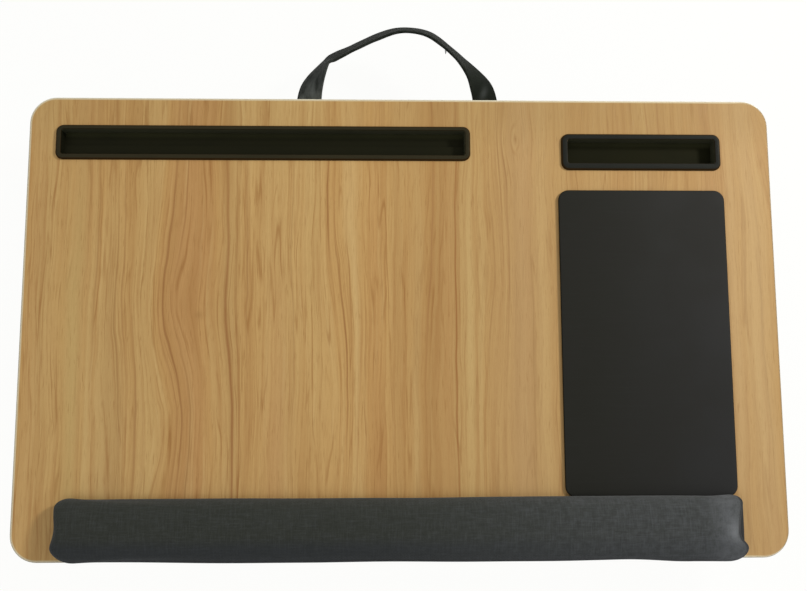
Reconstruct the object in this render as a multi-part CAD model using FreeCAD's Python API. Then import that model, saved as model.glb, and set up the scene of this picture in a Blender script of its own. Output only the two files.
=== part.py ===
"""Lap desk: a wood-look board on a two-bolster cushion.

The board carries a tablet tray, a phone tray, a mouse pad, a padded wrist rest and a
carry strap. Millimetres, +Z up, +Y away from the person who uses it. The origin lies on
the surface that the cushion rests on, under the middle of the whole object.
"""
import FreeCAD
import Part
import math
import os

V = FreeCAD.Vector

# Board
board_width = 600.0
board_depth = 366.0
board_corner_radius = 21.0
core_thickness = 9.0
top_laminate_thickness = 0.6
bottom_laminate_thickness = 0.4
edge_band_thickness = 1.0
edge_band_easing = 0.5

# Cushion
cushion_height = 44.0
cushion_inset = 30.0
cover_thickness = 1.2
cushion_top_edge_radius = 4.0
cushion_band_bottom = 24.0
bolster_outer_radius = 14.0
bolster_inner_radius = 12.0
bolster_inner_band_bottom = 21.0
bolster_flat_from_middle = 62.0
bolster_flat_width = 42.0
valley_half_gap = 3.0
valley_height = 30.0
cushion_end_rise = 19.0
cushion_end_round = 42.0
cushion_end_draw = 6.0
cushion_end_steps = 3
cushion_inner_end_steps = 2
pillow_clearance = 0.3
pillow_middle_gap = 8.0

# Hook-and-loop strips between the board and the cushion
strip_length = 110.0
strip_width = 25.0
hook_thickness = 1.2
loop_thickness = 1.2
strip_edge_inset = 38.0

# Trays, let into the board from above
tray_rim_height = 2.0
tray_rim_fillet = 1.5
tray_corner_radius = 5.4
tray_wall = 1.2
tray_slot_clearance = 0.3
tray_slot_radius = 4.0
tray_rib_length = 8.0
tray_rib_height = 4.0

tablet_tray_length = 333.5
tablet_tray_depth = 28.5
tablet_tray_left_inset = 21.5
tablet_tray_back_inset = 23.0
tablet_rim = 4.2
tablet_back_rim = 3.5
tablet_front_slope = 3.3
tablet_ledge_depth = 5.5
tablet_ledge_width = 7.0
tablet_channel_depth = 8.0
tablet_step_slope = 0.6
tablet_back_slope = 0.4
tablet_inner_radius = 3.0
tablet_rib_pairs = 5

phone_tray_length = 129.5
phone_tray_depth = 28.5
phone_tray_right_inset = 39.5
phone_tray_back_inset = 29.5
phone_side_rim = 4.6
phone_front_rim = 4.8
phone_back_rim = 3.9
phone_floor_depth = 8.0
phone_draft = 0.5
phone_inner_radius = 1.8
phone_rib_pairs = 3

# Wrist rest
rest_side_inset = 35.0
rest_depth = 47.5
rest_height = 18.0
rest_side_tuck = 2.4
rest_crown_radius = 52.0
rest_corner_radius = 6.5
rest_end_draw = 5.5
rest_end_drop = 3.0
rest_end_round = 8.0
rest_end_steps = 3
rest_cover_thickness = 0.8
rest_foam_clearance = 0.2
rest_base_thickness = 1.2
rest_adhesive_thickness = 0.3
rest_adhesive_inset = 3.0

# Mouse pad
pad_width = 135.0
pad_right_inset = 38.0
pad_under_rest = 1.0
pad_phone_gap = 18.0
pad_corner_radius = 8.5
pad_thickness = 2.0
pad_edge_chamfer = 0.5
pad_adhesive_thickness = 0.2
pad_adhesive_inset = 3.0

# Carry strap
strap_width = 20.0
strap_thickness = 2.2
strap_centre_x = -3.2
strap_half_span = 73.2
strap_reach = 63.7
strap_fold_gap = 2.0
strap_end_gap = 0.3
strap_tail_cushion_gap = 4.0
strap_steps = 2
screw_edge_distance = 13.0
screw_shank_radius = 1.7
screw_hole_clearance = 0.05
screw_bite = 7.0
screw_head_radius = 3.5
screw_head_height = 1.8
screw_head_dome = 0.7
clamp_plate_size = 16.0
clamp_plate_thickness = 1.0
clamp_plate_hole_clearance = 0.2

# Stations of the loop from left to right: share of the half span, share of the reach,
# and roll in degrees. The outer edge turns down, so the middle stands nearly on edge.
strap_stations = (
    (-0.996, 0.14, 2.0),
    (-0.976, 0.216, 18.0),
    (-0.925, 0.344, 38.0),
    (-0.840, 0.514, 60.0),
    (-0.700, 0.634, 54.0),
    (-0.501, 0.755, 58.0),
    (-0.259, 0.891, 58.0),
    (-0.027, 0.991, 58.0),
    (0.178, 1.000, 58.5),
    (0.369, 0.943, 58.0),
    (0.546, 0.796, 60.0),
    (0.724, 0.606, 57.5),
    (0.877, 0.394, 41.0),
    (0.963, 0.204, 14.0),
    (0.990, 0.131, 2.0),
)

# Zip in the back of the cushion's boxing band
zip_length = 300.0
zip_tape_width = 5.0
zip_tape_thickness = 0.6
zip_tape_tail = 10.0
zip_tooth_pitch = 5.0
zip_tooth_gap = 0.3
zip_tooth_reach = 2.5
zip_tooth_lap = 1.0
zip_tooth_thickness = 2.4
zip_stop_length = 2.0
zip_slit_clearance = 0.3
slider_length = 9.0
slider_clearance = 0.3
slider_plate = 1.1
slider_lip = 1.0
slider_tail_taper = 1.0
bail_length = 7.8
bail_width = 2.0
bail_thickness = 0.9
pull_length = 22.0
pull_width = 7.0
pull_thickness = 1.2
pull_pin_radius = 0.65
pull_window_length = 5.2
pull_window_clearance = 0.6
pull_tip_radius = 2.2
pull_clearance = 0.35

# Heights worked out from the sizes above
loop_bottom = cushion_height
hook_bottom = loop_bottom + loop_thickness
board_bottom = hook_bottom + hook_thickness
core_bottom = board_bottom + bottom_laminate_thickness
core_top = core_bottom + core_thickness
board_top = core_top + top_laminate_thickness

# The strap's outer edge is the object's furthest point at the back
strap_apex_roll = math.radians(max(strap_stations, key=lambda station: station[1])[2])
strap_overhang = (strap_reach + strap_width / 2 * math.cos(strap_apex_roll)
                  + strap_thickness / 2 * math.sin(strap_apex_roll))
board_y = -strap_overhang / 2
board_back = board_y + board_depth / 2
board_front = board_y - board_depth / 2
board_right = board_width / 2
board_left = -board_right

strap_mid_z = board_bottom - strap_thickness / 2
fold_axis_y = board_back + strap_fold_gap

rest_front = board_front
rest_back = rest_front + rest_depth
rest_mid_y = (rest_front + rest_back) / 2
rest_half_length = board_right - rest_side_inset

cushion_half_length = board_right - cushion_inset
cushion_half_depth = board_depth / 2 - cushion_inset
cushion_back = board_y + cushion_half_depth

zip_mid_z = (cushion_height - cushion_top_edge_radius + cushion_band_bottom) / 2
zip_face_y = cushion_back


def box(x0, x1, y0, y1, z0, z1):
    return Part.makeBox(x1 - x0, y1 - y0, z1 - z0, V(x0, y0, z0))


def arc_yz(x, centre, radius, start, end):
    """Arc in the plane at x, about a (y, z) centre, between two angles in radians."""
    def at(angle):
        return V(x, centre[0] + radius * math.cos(angle), centre[1] + radius * math.sin(angle))
    return Part.Arc(at(start), at((start + end) / 2), at(end)).toShape()


def line(p, q):
    return Part.LineSegment(p, q).toShape()


def rounded_face(x0, x1, y0, y1, radius, z):
    """Rectangle with rounded corners, as a face at height z."""
    edges = []
    corners = ((x1 - radius, y1 - radius, 0), (x0 + radius, y1 - radius, 90),
               (x0 + radius, y0 + radius, 180), (x1 - radius, y0 + radius, 270))
    arcs = []
    for cx, cy, turn in corners:
        points = []
        for angle in (turn, turn + 45, turn + 90):
            a = math.radians(angle)
            points.append(V(cx + radius * math.cos(a), cy + radius * math.sin(a), z))
        arcs.append(points)
    for i, points in enumerate(arcs):
        edges.append(Part.Arc(*points).toShape())
        edges.append(line(points[2], arcs[(i + 1) % 4][0]))
    return Part.Face(Part.Wire(edges))


def rounded_plate(x0, x1, y0, y1, radius, z0, z1):
    return rounded_face(x0, x1, y0, y1, radius, z0).extrude(V(0, 0, z1 - z0))


def rim_edges(shape, z):
    """Every edge that lies whole at height z."""
    rim = []
    for edge in shape.Edges:
        bounds = edge.BoundBox
        if abs(bounds.ZMin - z) < 1e-4 and abs(bounds.ZMax - z) < 1e-4:
            rim.append(edge)
    return rim


def prism_along_x(points, x0, x1):
    """Closed (y, z) outline, drawn out from x0 to x1."""
    corners = [V(x0, y, z) for y, z in points]
    wire = Part.makePolygon(corners + corners[:1])
    return Part.Face(wire).extrude(V(x1 - x0, 0, 0))


def save(name, *solids):
    shape = solids[0] if len(solids) == 1 else Part.makeCompound(list(solids))
    shape.exportStep("parts/%s.step" % name)
    print("%-22s %3d solids  volume %10.1f  valid %s"
          % (name, len(shape.Solids), shape.Volume, shape.isValid()))


# Trays

class Tray:
    """Outline of one moulded tray: a rim on the board round a trough through it."""

    def __init__(self, x0, y1, length, depth, side_rim, front_rim, back_rim, inner_radius):
        self.x0, self.x1 = x0, x0 + length
        self.y0, self.y1 = y1 - depth, y1
        self.in_x0, self.in_x1 = self.x0 + side_rim, self.x1 - side_rim
        self.in_y0, self.in_y1 = self.y0 + front_rim, self.y1 - back_rim
        self.inner_radius = inner_radius
        self.body_x0, self.body_x1 = self.in_x0 - tray_wall, self.in_x1 + tray_wall
        self.body_y0, self.body_y1 = self.in_y0 - tray_wall, self.in_y1 + tray_wall

    def slot(self, z0, z1):
        """Hole that the board has for the trough."""
        c = tray_slot_clearance
        return rounded_plate(self.body_x0 - c, self.body_x1 + c, self.body_y0 - c,
                             self.body_y1 + c, tray_slot_radius + c, z0, z1)

    def solid(self, hollow, floor_depth, rib_pairs):
        """Rim and trough, less the hollow, with ribs that grip the slot's long sides."""
        top = board_top + tray_rim_height
        under = board_top - floor_depth - tray_wall
        rim = rounded_plate(self.x0, self.x1, self.y0, self.y1, tray_corner_radius,
                            board_top, top)
        rim = rim.makeFillet(tray_rim_fillet, rim_edges(rim, top))
        trough = rounded_plate(self.body_x0, self.body_x1, self.body_y0, self.body_y1,
                               tray_slot_radius, under, board_top)
        mouth = rounded_plate(self.in_x0, self.in_x1, self.in_y0, self.in_y1,
                              self.inner_radius, under, top)
        shape = rim.fuse(trough).cut(hollow.common(mouth))
        rib_top = board_top - top_laminate_thickness
        step = (self.body_x1 - self.body_x0) / rib_pairs
        ribs = []
        for i in range(rib_pairs):
            mid = self.body_x0 + step * (i + 0.5)
            for y, way in ((self.body_y0, -1), (self.body_y1, 1)):
                edge = y + way * tray_slot_clearance
                ribs.append(box(mid - tray_rib_length / 2, mid + tray_rib_length / 2,
                                min(y, edge), max(y, edge),
                                rib_top - tray_rib_height, rib_top))
        return shape.fuse(ribs).removeSplitter()


tablet = Tray(board_left + tablet_tray_left_inset, board_back - tablet_tray_back_inset,
              tablet_tray_length, tablet_tray_depth,
              tablet_rim, tablet_rim, tablet_back_rim, tablet_inner_radius)
phone = Tray(board_right - phone_tray_right_inset - phone_tray_length,
             board_back - phone_tray_back_inset, phone_tray_length, phone_tray_depth,
             phone_side_rim, phone_front_rim, phone_back_rim, phone_inner_radius)


def tablet_tray():
    """Stepped trough: a sloping front wall, a ledge, then the deeper channel at the back."""
    top = board_top + tray_rim_height
    ledge = board_top - tablet_ledge_depth
    floor = board_top - tablet_channel_depth
    ledge_front = tablet.in_y0 + tablet_front_slope
    ledge_back = ledge_front + tablet_ledge_width
    outline = (
        (tablet.in_y0, top),
        (ledge_front, ledge),
        (ledge_back, ledge),
        (ledge_back + tablet_step_slope, floor),
        (tablet.in_y1 - tablet_back_slope, floor),
        (tablet.in_y1, top),
    )
    hollow = prism_along_x(outline, tablet.in_x0, tablet.in_x1)
    return tablet.solid(hollow, tablet_channel_depth, tablet_rib_pairs)


def phone_tray():
    """Plain trough with a flat floor and a little draft on its long walls."""
    top = board_top + tray_rim_height
    floor = board_top - phone_floor_depth
    outline = (
        (phone.in_y0, top),
        (phone.in_y0 + phone_draft, floor),
        (phone.in_y1 - phone_draft, floor),
        (phone.in_y1, top),
    )
    hollow = prism_along_x(outline, phone.in_x0, phone.in_x1)
    return phone.solid(hollow, phone_floor_depth, phone_rib_pairs)


# Board

def screw_points():
    """Plan position of the screw on each leg of the strap."""
    return [(strap_centre_x + side * strap_half_span, board_back - screw_edge_distance)
            for side in (-1, 1)]


def screw_holes(z0, z1):
    radius = screw_shank_radius + screw_hole_clearance
    return [Part.makeCylinder(radius, z1 - z0, V(x, y, z0)) for x, y in screw_points()]


def board_sheet(z0, z1, inset, radius_inset):
    return rounded_plate(board_left + inset, board_right - inset, board_front + inset,
                         board_back - inset, board_corner_radius - radius_inset, z0, z1)


def board_layer(z0, z1, holes):
    """One layer of the board inside the edge band, open at both tray slots."""
    layer = board_sheet(z0, z1, edge_band_thickness, edge_band_thickness)
    return layer.cut([tablet.slot(z0, z1), phone.slot(z0, z1)] + holes)


def edge_band():
    band = board_sheet(board_bottom, board_top, 0.0, 0.0)
    band = band.makeChamfer(edge_band_easing, rim_edges(band, board_top))
    return band.cut(board_sheet(board_bottom, board_top, edge_band_thickness,
                                edge_band_thickness))


# Mouse pad

pad_x1 = board_right - pad_right_inset
pad_x0 = pad_x1 - pad_width
pad_y0 = rest_back - pad_under_rest
pad_y1 = phone.y0 - pad_phone_gap
pad_bottom = board_top + pad_adhesive_thickness


def mouse_pad():
    top = pad_bottom + pad_thickness
    pad = rounded_plate(pad_x0, pad_x1, pad_y0, pad_y1, pad_corner_radius, pad_bottom, top)
    return pad.makeChamfer(pad_edge_chamfer, rim_edges(pad, top))


def mouse_pad_adhesive():
    inset = pad_adhesive_inset
    return rounded_plate(pad_x0 + inset, pad_x1 - inset, pad_y0 + inset, pad_y1 - inset,
                         pad_corner_radius - inset, board_top, pad_bottom)


# Wrist rest

def rest_section(x, half_depth, bottom, top):
    """Crowned section: a broad arc on top, tight shoulders, sides tucked in to the base."""
    height = top - bottom
    corner = min(rest_corner_radius, 0.45 * height)
    crown_z = top - rest_crown_radius
    shoulder_y = half_depth - corner
    shoulder_z = crown_z + math.sqrt((rest_crown_radius - corner) ** 2 - shoulder_y ** 2)
    lean = math.atan2(shoulder_z - crown_z, shoulder_y)
    rise = shoulder_z - bottom
    side_radius = (rest_side_tuck ** 2 + rise ** 2) / (2 * rest_side_tuck)
    tuck = math.asin(rise / side_radius)
    crown = (rest_mid_y, crown_z)
    right = (rest_mid_y + shoulder_y, shoulder_z)
    left = (rest_mid_y - shoulder_y, shoulder_z)
    right_side = (rest_mid_y + half_depth - side_radius, shoulder_z)
    left_side = (rest_mid_y - half_depth + side_radius, shoulder_z)
    base = half_depth - rest_side_tuck
    return Part.Wire([
        line(V(x, rest_mid_y - base, bottom), V(x, rest_mid_y + base, bottom)),
        arc_yz(x, right_side, side_radius, -tuck, 0.0),
        arc_yz(x, right, corner, 0.0, lean),
        arc_yz(x, crown, rest_crown_radius, lean, math.pi - lean),
        arc_yz(x, left, corner, math.pi - lean, math.pi),
        arc_yz(x, left_side, side_radius, math.pi, math.pi + tuck),
    ])


def rest_body(inset, bottom):
    """The rest as one long loft, drawn in and a little lower at its rounded ends."""
    sections = []
    for side in (-1, 1):
        steps = range(rest_end_steps, -1, -1) if side < 0 else range(rest_end_steps + 1)
        for i in steps:
            turn = math.pi / 2 * i / rest_end_steps
            out = math.sin(turn)
            pull = 1.0 - math.cos(turn)
            x = side * (rest_half_length - inset - rest_end_round * (1.0 - out))
            half_depth = rest_depth / 2 - inset - rest_end_draw * pull
            top = board_top + rest_height - inset - rest_end_drop * pull
            sections.append(rest_section(x, half_depth, bottom, top))
    return Part.makeLoft(sections, True, True)


def wrist_rest():
    """Cover, foam, base sheet and the adhesive under it."""
    base_bottom = board_top + rest_adhesive_thickness
    base_top = base_bottom + rest_base_thickness
    inner = rest_body(rest_cover_thickness, board_top)
    cover = rest_body(0.0, board_top).cut(inner)
    core = rest_body(rest_cover_thickness + rest_foam_clearance, board_top)
    reach = board_width
    base = core.common(box(-reach, reach, rest_front, rest_back, base_bottom, base_top))
    foam = core.common(box(-reach, reach, rest_front, rest_back, base_top,
                           board_top + rest_height))
    glue_half = rest_half_length - rest_end_round - rest_adhesive_inset
    glue = box(-glue_half, glue_half,
               rest_front + rest_side_tuck + rest_end_draw + rest_adhesive_inset,
               rest_back - rest_side_tuck - rest_end_draw - rest_adhesive_inset,
               board_top, base_bottom)
    return cover, foam, base, glue


# Cushion

def bolster_edges(x, side, bottom, half_depth, inset, share):
    """Underside of one bolster, from its outer band to the top of the valley."""
    def at(y, z):
        return V(x, board_y + side * y, z)

    def arc(centre, radius, start, end):
        if side < 0:
            start, end = math.pi - start, math.pi - end
        return arc_yz(x, (board_y + side * centre[0], centre[1]), radius, start, end)

    def blend(wall_y, wall_height, radius, flat_y):
        """Centre and angle of the broad arc that joins a tight corner to the flat."""
        run = abs(wall_y - flat_y) - radius
        broad = (run ** 2 + wall_height ** 2 - radius ** 2) / (2 * (wall_height - radius))
        return broad, math.atan2(broad - wall_height, run)

    flat_in = bolster_flat_from_middle
    flat_out = flat_in + bolster_flat_width
    outer_height = (cushion_band_bottom - inset) * share
    outer_radius = (bolster_outer_radius - inset) * share
    broad, lean = blend(half_depth, outer_height, outer_radius, flat_out)
    corner = (half_depth - outer_radius, bottom + outer_height)
    edges = [
        arc(corner, outer_radius, 0.0, -lean),
        arc((flat_out, bottom + broad), broad, -lean, -math.pi / 2),
        line(at(flat_out, bottom), at(flat_in, bottom)),
    ]
    wall = valley_half_gap + inset
    inner_height = (bolster_inner_band_bottom - inset) * share
    inner_radius = (bolster_inner_radius - inset) * share
    broad, lean = blend(wall, inner_height, inner_radius, flat_in)
    corner = (wall + inner_radius, bottom + inner_height)
    valley_top = valley_height + inset
    edges += [
        arc((flat_in, bottom + broad), broad, -math.pi / 2, lean - math.pi),
        arc(corner, inner_radius, lean - math.pi, -math.pi),
        line(at(wall, bottom + inner_height), at(0.0, valley_top)),
    ]
    return edges


def cushion_section(x, inset, bottom, half_depth):
    """Whole outline across the cushion: flat top, upright band, two rounded bolsters."""
    top = cushion_height - inset
    radius = cushion_top_edge_radius - inset
    share = (cushion_band_bottom - bottom) / (cushion_band_bottom - inset)
    band = bottom + (cushion_band_bottom - inset) * share
    edges = bolster_edges(x, 1, bottom, half_depth, inset, share)
    edges += reversed(bolster_edges(x, -1, bottom, half_depth, inset, share))
    left, right = board_y - half_depth, board_y + half_depth
    edges += [
        line(V(x, left, band), V(x, left, top - radius)),
        arc_yz(x, (left + radius, top - radius), radius, math.pi, math.pi / 2),
        line(V(x, left + radius, top), V(x, right - radius, top)),
        arc_yz(x, (right - radius, top - radius), radius, math.pi / 2, 0.0),
        line(V(x, right, top - radius), V(x, right, band)),
    ]
    return Part.Wire(Part.__sortEdges__(edges))


def cushion_body(inset, end_steps):
    """The cushion as a loft along X; its ends round up from below and draw in."""
    sections = []
    for side in (-1, 1):
        steps = range(end_steps, -1, -1) if side < 0 else range(end_steps + 1)
        for i in steps:
            turn = math.pi / 2 * i / end_steps
            lift = 1.0 - math.cos(turn)
            x = side * (cushion_half_length - inset - cushion_end_round * (1 - math.sin(turn)))
            half_depth = cushion_half_depth - inset - cushion_end_draw * lift
            sections.append(cushion_section(x, inset, inset + (cushion_end_rise - inset) * lift,
                                            half_depth))
    return Part.makeLoft(sections, True, True)


def zip_slit():
    half = zip_length / 2 + zip_slit_clearance
    height = zip_tooth_reach + zip_slit_clearance
    return box(-half, half, zip_face_y - cover_thickness, zip_face_y,
               zip_mid_z - height, zip_mid_z + height)


def front_and_rear(shape, half_gap):
    """The two parts of a shape that lie before and behind the valley."""
    reach = board_width
    front = box(-reach, reach, board_front, board_y - half_gap, 0, cushion_height)
    rear = box(-reach, reach, board_y + half_gap, board_back, 0, cushion_height)
    return shape.common(front), shape.common(rear)


def cushion_covers():
    """Cover of each bolster, sewn to the other along the valley; the zip slit is behind."""
    inside = cushion_body(cover_thickness, cushion_inner_end_steps)
    cover = cushion_body(0.0, cushion_end_steps).cut([inside, zip_slit()])
    return front_and_rear(cover, 0.0)


def pillows():
    filling = cushion_body(cover_thickness + pillow_clearance, cushion_inner_end_steps)
    return front_and_rear(filling, pillow_middle_gap / 2)


def strips(z0, z1):
    """One strip near each corner of the cushion's top."""
    result = []
    for x_side in (-1, 1):
        for y_side in (-1, 1):
            x = x_side * (cushion_half_length - strip_edge_inset - strip_length / 2)
            y = board_y + y_side * (cushion_half_depth - strip_edge_inset - strip_width / 2)
            result.append(box(x - strip_length / 2, x + strip_length / 2,
                              y - strip_width / 2, y + strip_width / 2, z0, z1))
    return result


# Carry strap

def strap_section(x, y, heading, roll):
    """Corners of the strap's cross-section, square to its heading and rolled about it."""
    across = V(-math.sin(heading), math.cos(heading), 0)
    width = across * math.cos(roll) + V(0, 0, -math.sin(roll))
    thick = across * math.sin(roll) + V(0, 0, math.cos(roll))
    middle = V(x, y, strap_mid_z)
    return [middle + width * (i * strap_width / 2) + thick * (j * strap_thickness / 2)
            for i, j in ((-1, -1), (1, -1), (1, 1), (-1, 1))]


def between(before, start, end, after, share):
    """Catmull-Rom curve from start to end, for points given as tuples of numbers."""
    result = []
    for a, b, c, d in zip(before, start, end, after):
        slope_in, slope_out = (c - a) / 2, (d - b) / 2
        result.append(b + slope_in * share
                      + (3 * (c - b) - 2 * slope_in - slope_out) * share ** 2
                      + (2 * (b - c) + slope_in + slope_out) * share ** 3)
    return tuple(result)


def strap_path():
    """Points of the loop as (x, y, roll), smoothed between the chosen stations."""
    stations = [(-1.0, strap_fold_gap / strap_reach, 0.0), *strap_stations,
                (1.0, strap_fold_gap / strap_reach, 0.0)]
    placed = [(strap_centre_x + share_x * strap_half_span, board_back + share_y * strap_reach,
               math.radians(roll)) for share_x, share_y, roll in stations]
    path = []
    for i in range(len(placed) - 1):
        before = placed[max(i - 1, 0)]
        after = placed[min(i + 2, len(placed) - 1)]
        for step in range(strap_steps):
            path.append(between(before, placed[i], placed[i + 1], after, step / strap_steps))
    return path + [placed[-1]]


def strap_sections():
    """Sections along the loop, square to the board where it starts and ends."""
    path = strap_path()
    sections = []
    for i, (x, y, roll) in enumerate(path):
        if i == 0:
            heading = math.pi / 2
        elif i == len(path) - 1:
            heading = -math.pi / 2
        else:
            heading = math.atan2(path[i + 1][1] - path[i - 1][1], path[i + 1][0] - path[i - 1][0])
        sections.append(strap_section(x, y, heading, roll))
    return sections


def faceted_solid(sections):
    """Solid of flat triangles through cross-sections that have as many corners each."""
    def flat(*corners):
        return Part.Face(Part.makePolygon([*corners, corners[0]]))

    count = len(sections[0])
    faces = [flat(*sections[0]), flat(*sections[-1])]
    for here, there in zip(sections, sections[1:]):
        for i in range(count):
            j = (i + 1) % count
            faces.append(flat(here[i], here[j], there[j]))
            faces.append(flat(here[i], there[j], there[i]))
    return Part.makeSolid(Part.makeShell(faces))


def carry_strap():
    """The loop as one twisted ribbon; its two ends are rounded about the fold."""
    loop = faceted_solid(strap_sections())
    ends = []
    for side in (-1, 1):
        x = strap_centre_x + side * strap_half_span - strap_width / 2
        rounding = Part.makeCylinder(strap_thickness / 2, strap_width,
                                     V(x, fold_axis_y, strap_mid_z), V(1, 0, 0))
        ends.append(rounding.common(box(x, x + strap_width, board_back, fold_axis_y,
                                        0, board_top)))
    return loop.fuse(ends)


def strap_tail(side):
    """Flat end of the webbing, screwed to the underside of the board."""
    x = strap_centre_x + side * strap_half_span
    front = cushion_back + strap_tail_cushion_gap
    back = fold_axis_y - strap_thickness / 2 - strap_end_gap
    tail = box(x - strap_width / 2, x + strap_width / 2, front, back,
               board_bottom - strap_thickness, board_bottom)
    return tail.cut(screw_holes(board_bottom - strap_thickness, board_bottom))


def strap_clamp_plates():
    """Square metal plates that spread each screw's load over the webbing."""
    top = board_bottom - strap_thickness
    half = clamp_plate_size / 2
    plates = []
    for x, y in screw_points():
        plate = box(x - half, x + half, y - half, y + half, top - clamp_plate_thickness, top)
        hole = Part.makeCylinder(screw_shank_radius + clamp_plate_hole_clearance,
                                 clamp_plate_thickness, V(x, y, top - clamp_plate_thickness))
        plates.append(plate.cut(hole))
    return plates


def strap_screws():
    """Pan-head wood screws, turned about their own axis, pointing up."""
    seat = board_bottom - strap_thickness - clamp_plate_thickness
    tip = board_bottom + screw_bite
    crown = seat - screw_head_height
    outline = (
        (0.0, crown),
        (screw_head_radius - screw_head_dome, crown),
        (screw_head_radius, crown + screw_head_dome),
        (screw_head_radius, seat),
        (screw_shank_radius, seat),
        (screw_shank_radius, tip),
        (0.0, tip),
    )
    screws = []
    for x, y in screw_points():
        corners = [V(x + radius, y, z) for radius, z in outline]
        face = Part.Face(Part.makePolygon(corners + corners[:1]))
        screws.append(face.revolve(V(x, y, 0), V(0, 0, 1), 360))
    return screws


# Zip

def zip_box(x0, x1, z0, z1, y0, y1):
    """Box given by its run along the zip, its height about the chain and its depth."""
    return box(x0, x1, zip_face_y + y0, zip_face_y + y1, zip_mid_z + z0, zip_mid_z + z1)


tooth_y0 = (zip_tape_thickness - zip_tooth_thickness) / 2
tooth_y1 = (zip_tape_thickness + zip_tooth_thickness) / 2


def zip_tapes():
    half = zip_length / 2 + zip_tape_tail
    tapes = []
    for side in (-1, 1):
        edges = sorted((side * zip_tooth_reach, side * (zip_tooth_reach + zip_tape_width)))
        tapes.append(zip_box(-half, half, edges[0], edges[1], 0.0, zip_tape_thickness))
    return tapes


def zip_teeth():
    """Two rows of teeth, each reaching past the middle between two of the other row."""
    room = zip_length - 2 * zip_stop_length
    count = int(room / zip_tooth_pitch)
    width = zip_tooth_pitch / 2 - zip_tooth_gap
    start = -count * zip_tooth_pitch / 2
    teeth = []
    for i in range(count):
        for row, side in enumerate((-1, 1)):
            x = start + (i + row / 2) * zip_tooth_pitch + zip_tooth_gap / 2
            ends = sorted((side * zip_tooth_reach, -side * zip_tooth_lap))
            teeth.append(zip_box(x, x + width, ends[0], ends[1], tooth_y0, tooth_y1))
    return teeth


def zip_stops():
    """One stop across both rows at the open end, one on each tape at the closed end."""
    half = zip_length / 2
    reach = zip_tooth_reach
    slim = zip_tooth_gap
    return [
        zip_box(-half, -half + zip_stop_length, -reach, reach, tooth_y0, tooth_y1),
        zip_box(half - zip_stop_length, half, slim, reach, tooth_y0, tooth_y1),
        zip_box(half - zip_stop_length, half, -reach, -slim, tooth_y0, tooth_y1),
    ]


slider_right = zip_length / 2 - zip_stop_length - slider_clearance
slider_mid_x = slider_right - slider_length / 2
slider_half_height = zip_tooth_reach + slider_clearance + slider_lip
plate_y0 = tooth_y1 + slider_clearance
plate_y1 = plate_y0 + slider_plate
pin_y = plate_y1 + pull_clearance + pull_pin_radius
bail_y1 = pin_y + pull_pin_radius + pull_clearance


def zip_slider():
    """Front half of the slider: plate with side lips over the chain, and the bail."""
    x0 = slider_right - slider_length
    high = slider_half_height
    low = slider_half_height - slider_tail_taper
    corners = []
    for x, z in ((x0, -low), (slider_mid_x, -low), (slider_right, -high),
                 (slider_right, high), (slider_mid_x, low), (x0, low)):
        corners.append(V(x, zip_face_y + zip_tape_thickness + slider_clearance, zip_mid_z + z))
    depth = plate_y1 - zip_tape_thickness - slider_clearance
    shell = Part.Face(Part.makePolygon(corners + corners[:1])).extrude(V(0, depth, 0))
    channel_reach = zip_tooth_reach + slider_clearance
    channel = zip_box(x0, slider_right, -channel_reach, channel_reach, 0.0, plate_y0)
    shell = shell.cut(channel)
    half = bail_length / 2
    bail = zip_box(slider_mid_x - half, slider_mid_x + half, -bail_width / 2, bail_width / 2,
                   plate_y1, bail_y1 + bail_thickness)
    eye = zip_box(slider_mid_x - half + bail_thickness, slider_mid_x + half - bail_thickness,
                  -bail_width / 2, bail_width / 2, plate_y1, bail_y1)
    return shell.fuse(bail.cut(eye)).removeSplitter()


def zip_pull():
    """Flat tab with a window round the bail's leg and a round pin under the bail."""
    half = pull_width / 2
    y0 = pin_y - pull_thickness / 2
    y1 = pin_y + pull_thickness / 2
    tip = slider_mid_x - pull_length
    tab = zip_box(tip, slider_mid_x, -half, half, y0, y1)
    corners = [edge for edge in tab.Edges
               if abs(edge.BoundBox.XMax - tip) < 1e-4 and edge.BoundBox.ZLength < 1e-4]
    tab = tab.makeFillet(pull_tip_radius, corners)
    window_half = bail_width / 2 + pull_window_clearance
    window_start = slider_mid_x - pull_pin_radius
    window = zip_box(window_start - pull_window_length, slider_mid_x,
                     -window_half, window_half, y0, y1)
    pin = Part.makeCylinder(pull_pin_radius, pull_width,
                            V(slider_mid_x, zip_face_y + pin_y, zip_mid_z - half))
    return tab.cut(window).fuse(pin).removeSplitter()


def main():
    os.makedirs("parts", exist_ok=True)
    pilots = screw_holes(board_bottom, board_bottom + screw_bite)
    save("board_core", board_layer(core_bottom, core_top, pilots))
    save("top_laminate", board_layer(core_top, board_top, []))
    save("bottom_laminate", board_layer(board_bottom, core_bottom, pilots))
    save("edge_band", edge_band())
    save("tablet_tray", tablet_tray())
    save("phone_tray", phone_tray())
    save("mouse_pad", mouse_pad())
    save("mouse_pad_adhesive", mouse_pad_adhesive())
    cover, foam, base, glue = wrist_rest()
    save("wrist_rest_cover", cover)
    save("wrist_rest_foam", foam)
    save("wrist_rest_base", base)
    save("wrist_rest_adhesive", glue)
    for name, cover, pillow in zip(("front", "rear"), cushion_covers(), pillows()):
        save(name + "_bolster_cover", cover)
        save(name + "_bolster_pillow", pillow)
    save("loop_strips", *strips(loop_bottom, hook_bottom))
    save("hook_strips", *strips(hook_bottom, board_bottom))
    save("strap_tail_left", strap_tail(-1))
    save("strap_tail_right", strap_tail(1))
    save("strap_clamp_plates", *strap_clamp_plates())
    save("strap_screws", *strap_screws())
    save("carry_strap", carry_strap())
    save("zip_tapes", *zip_tapes())
    save("zip_teeth", *zip_teeth())
    save("zip_stops", *zip_stops())
    save("zip_slider", zip_slider())
    save("zip_pull", zip_pull())


main()
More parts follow.
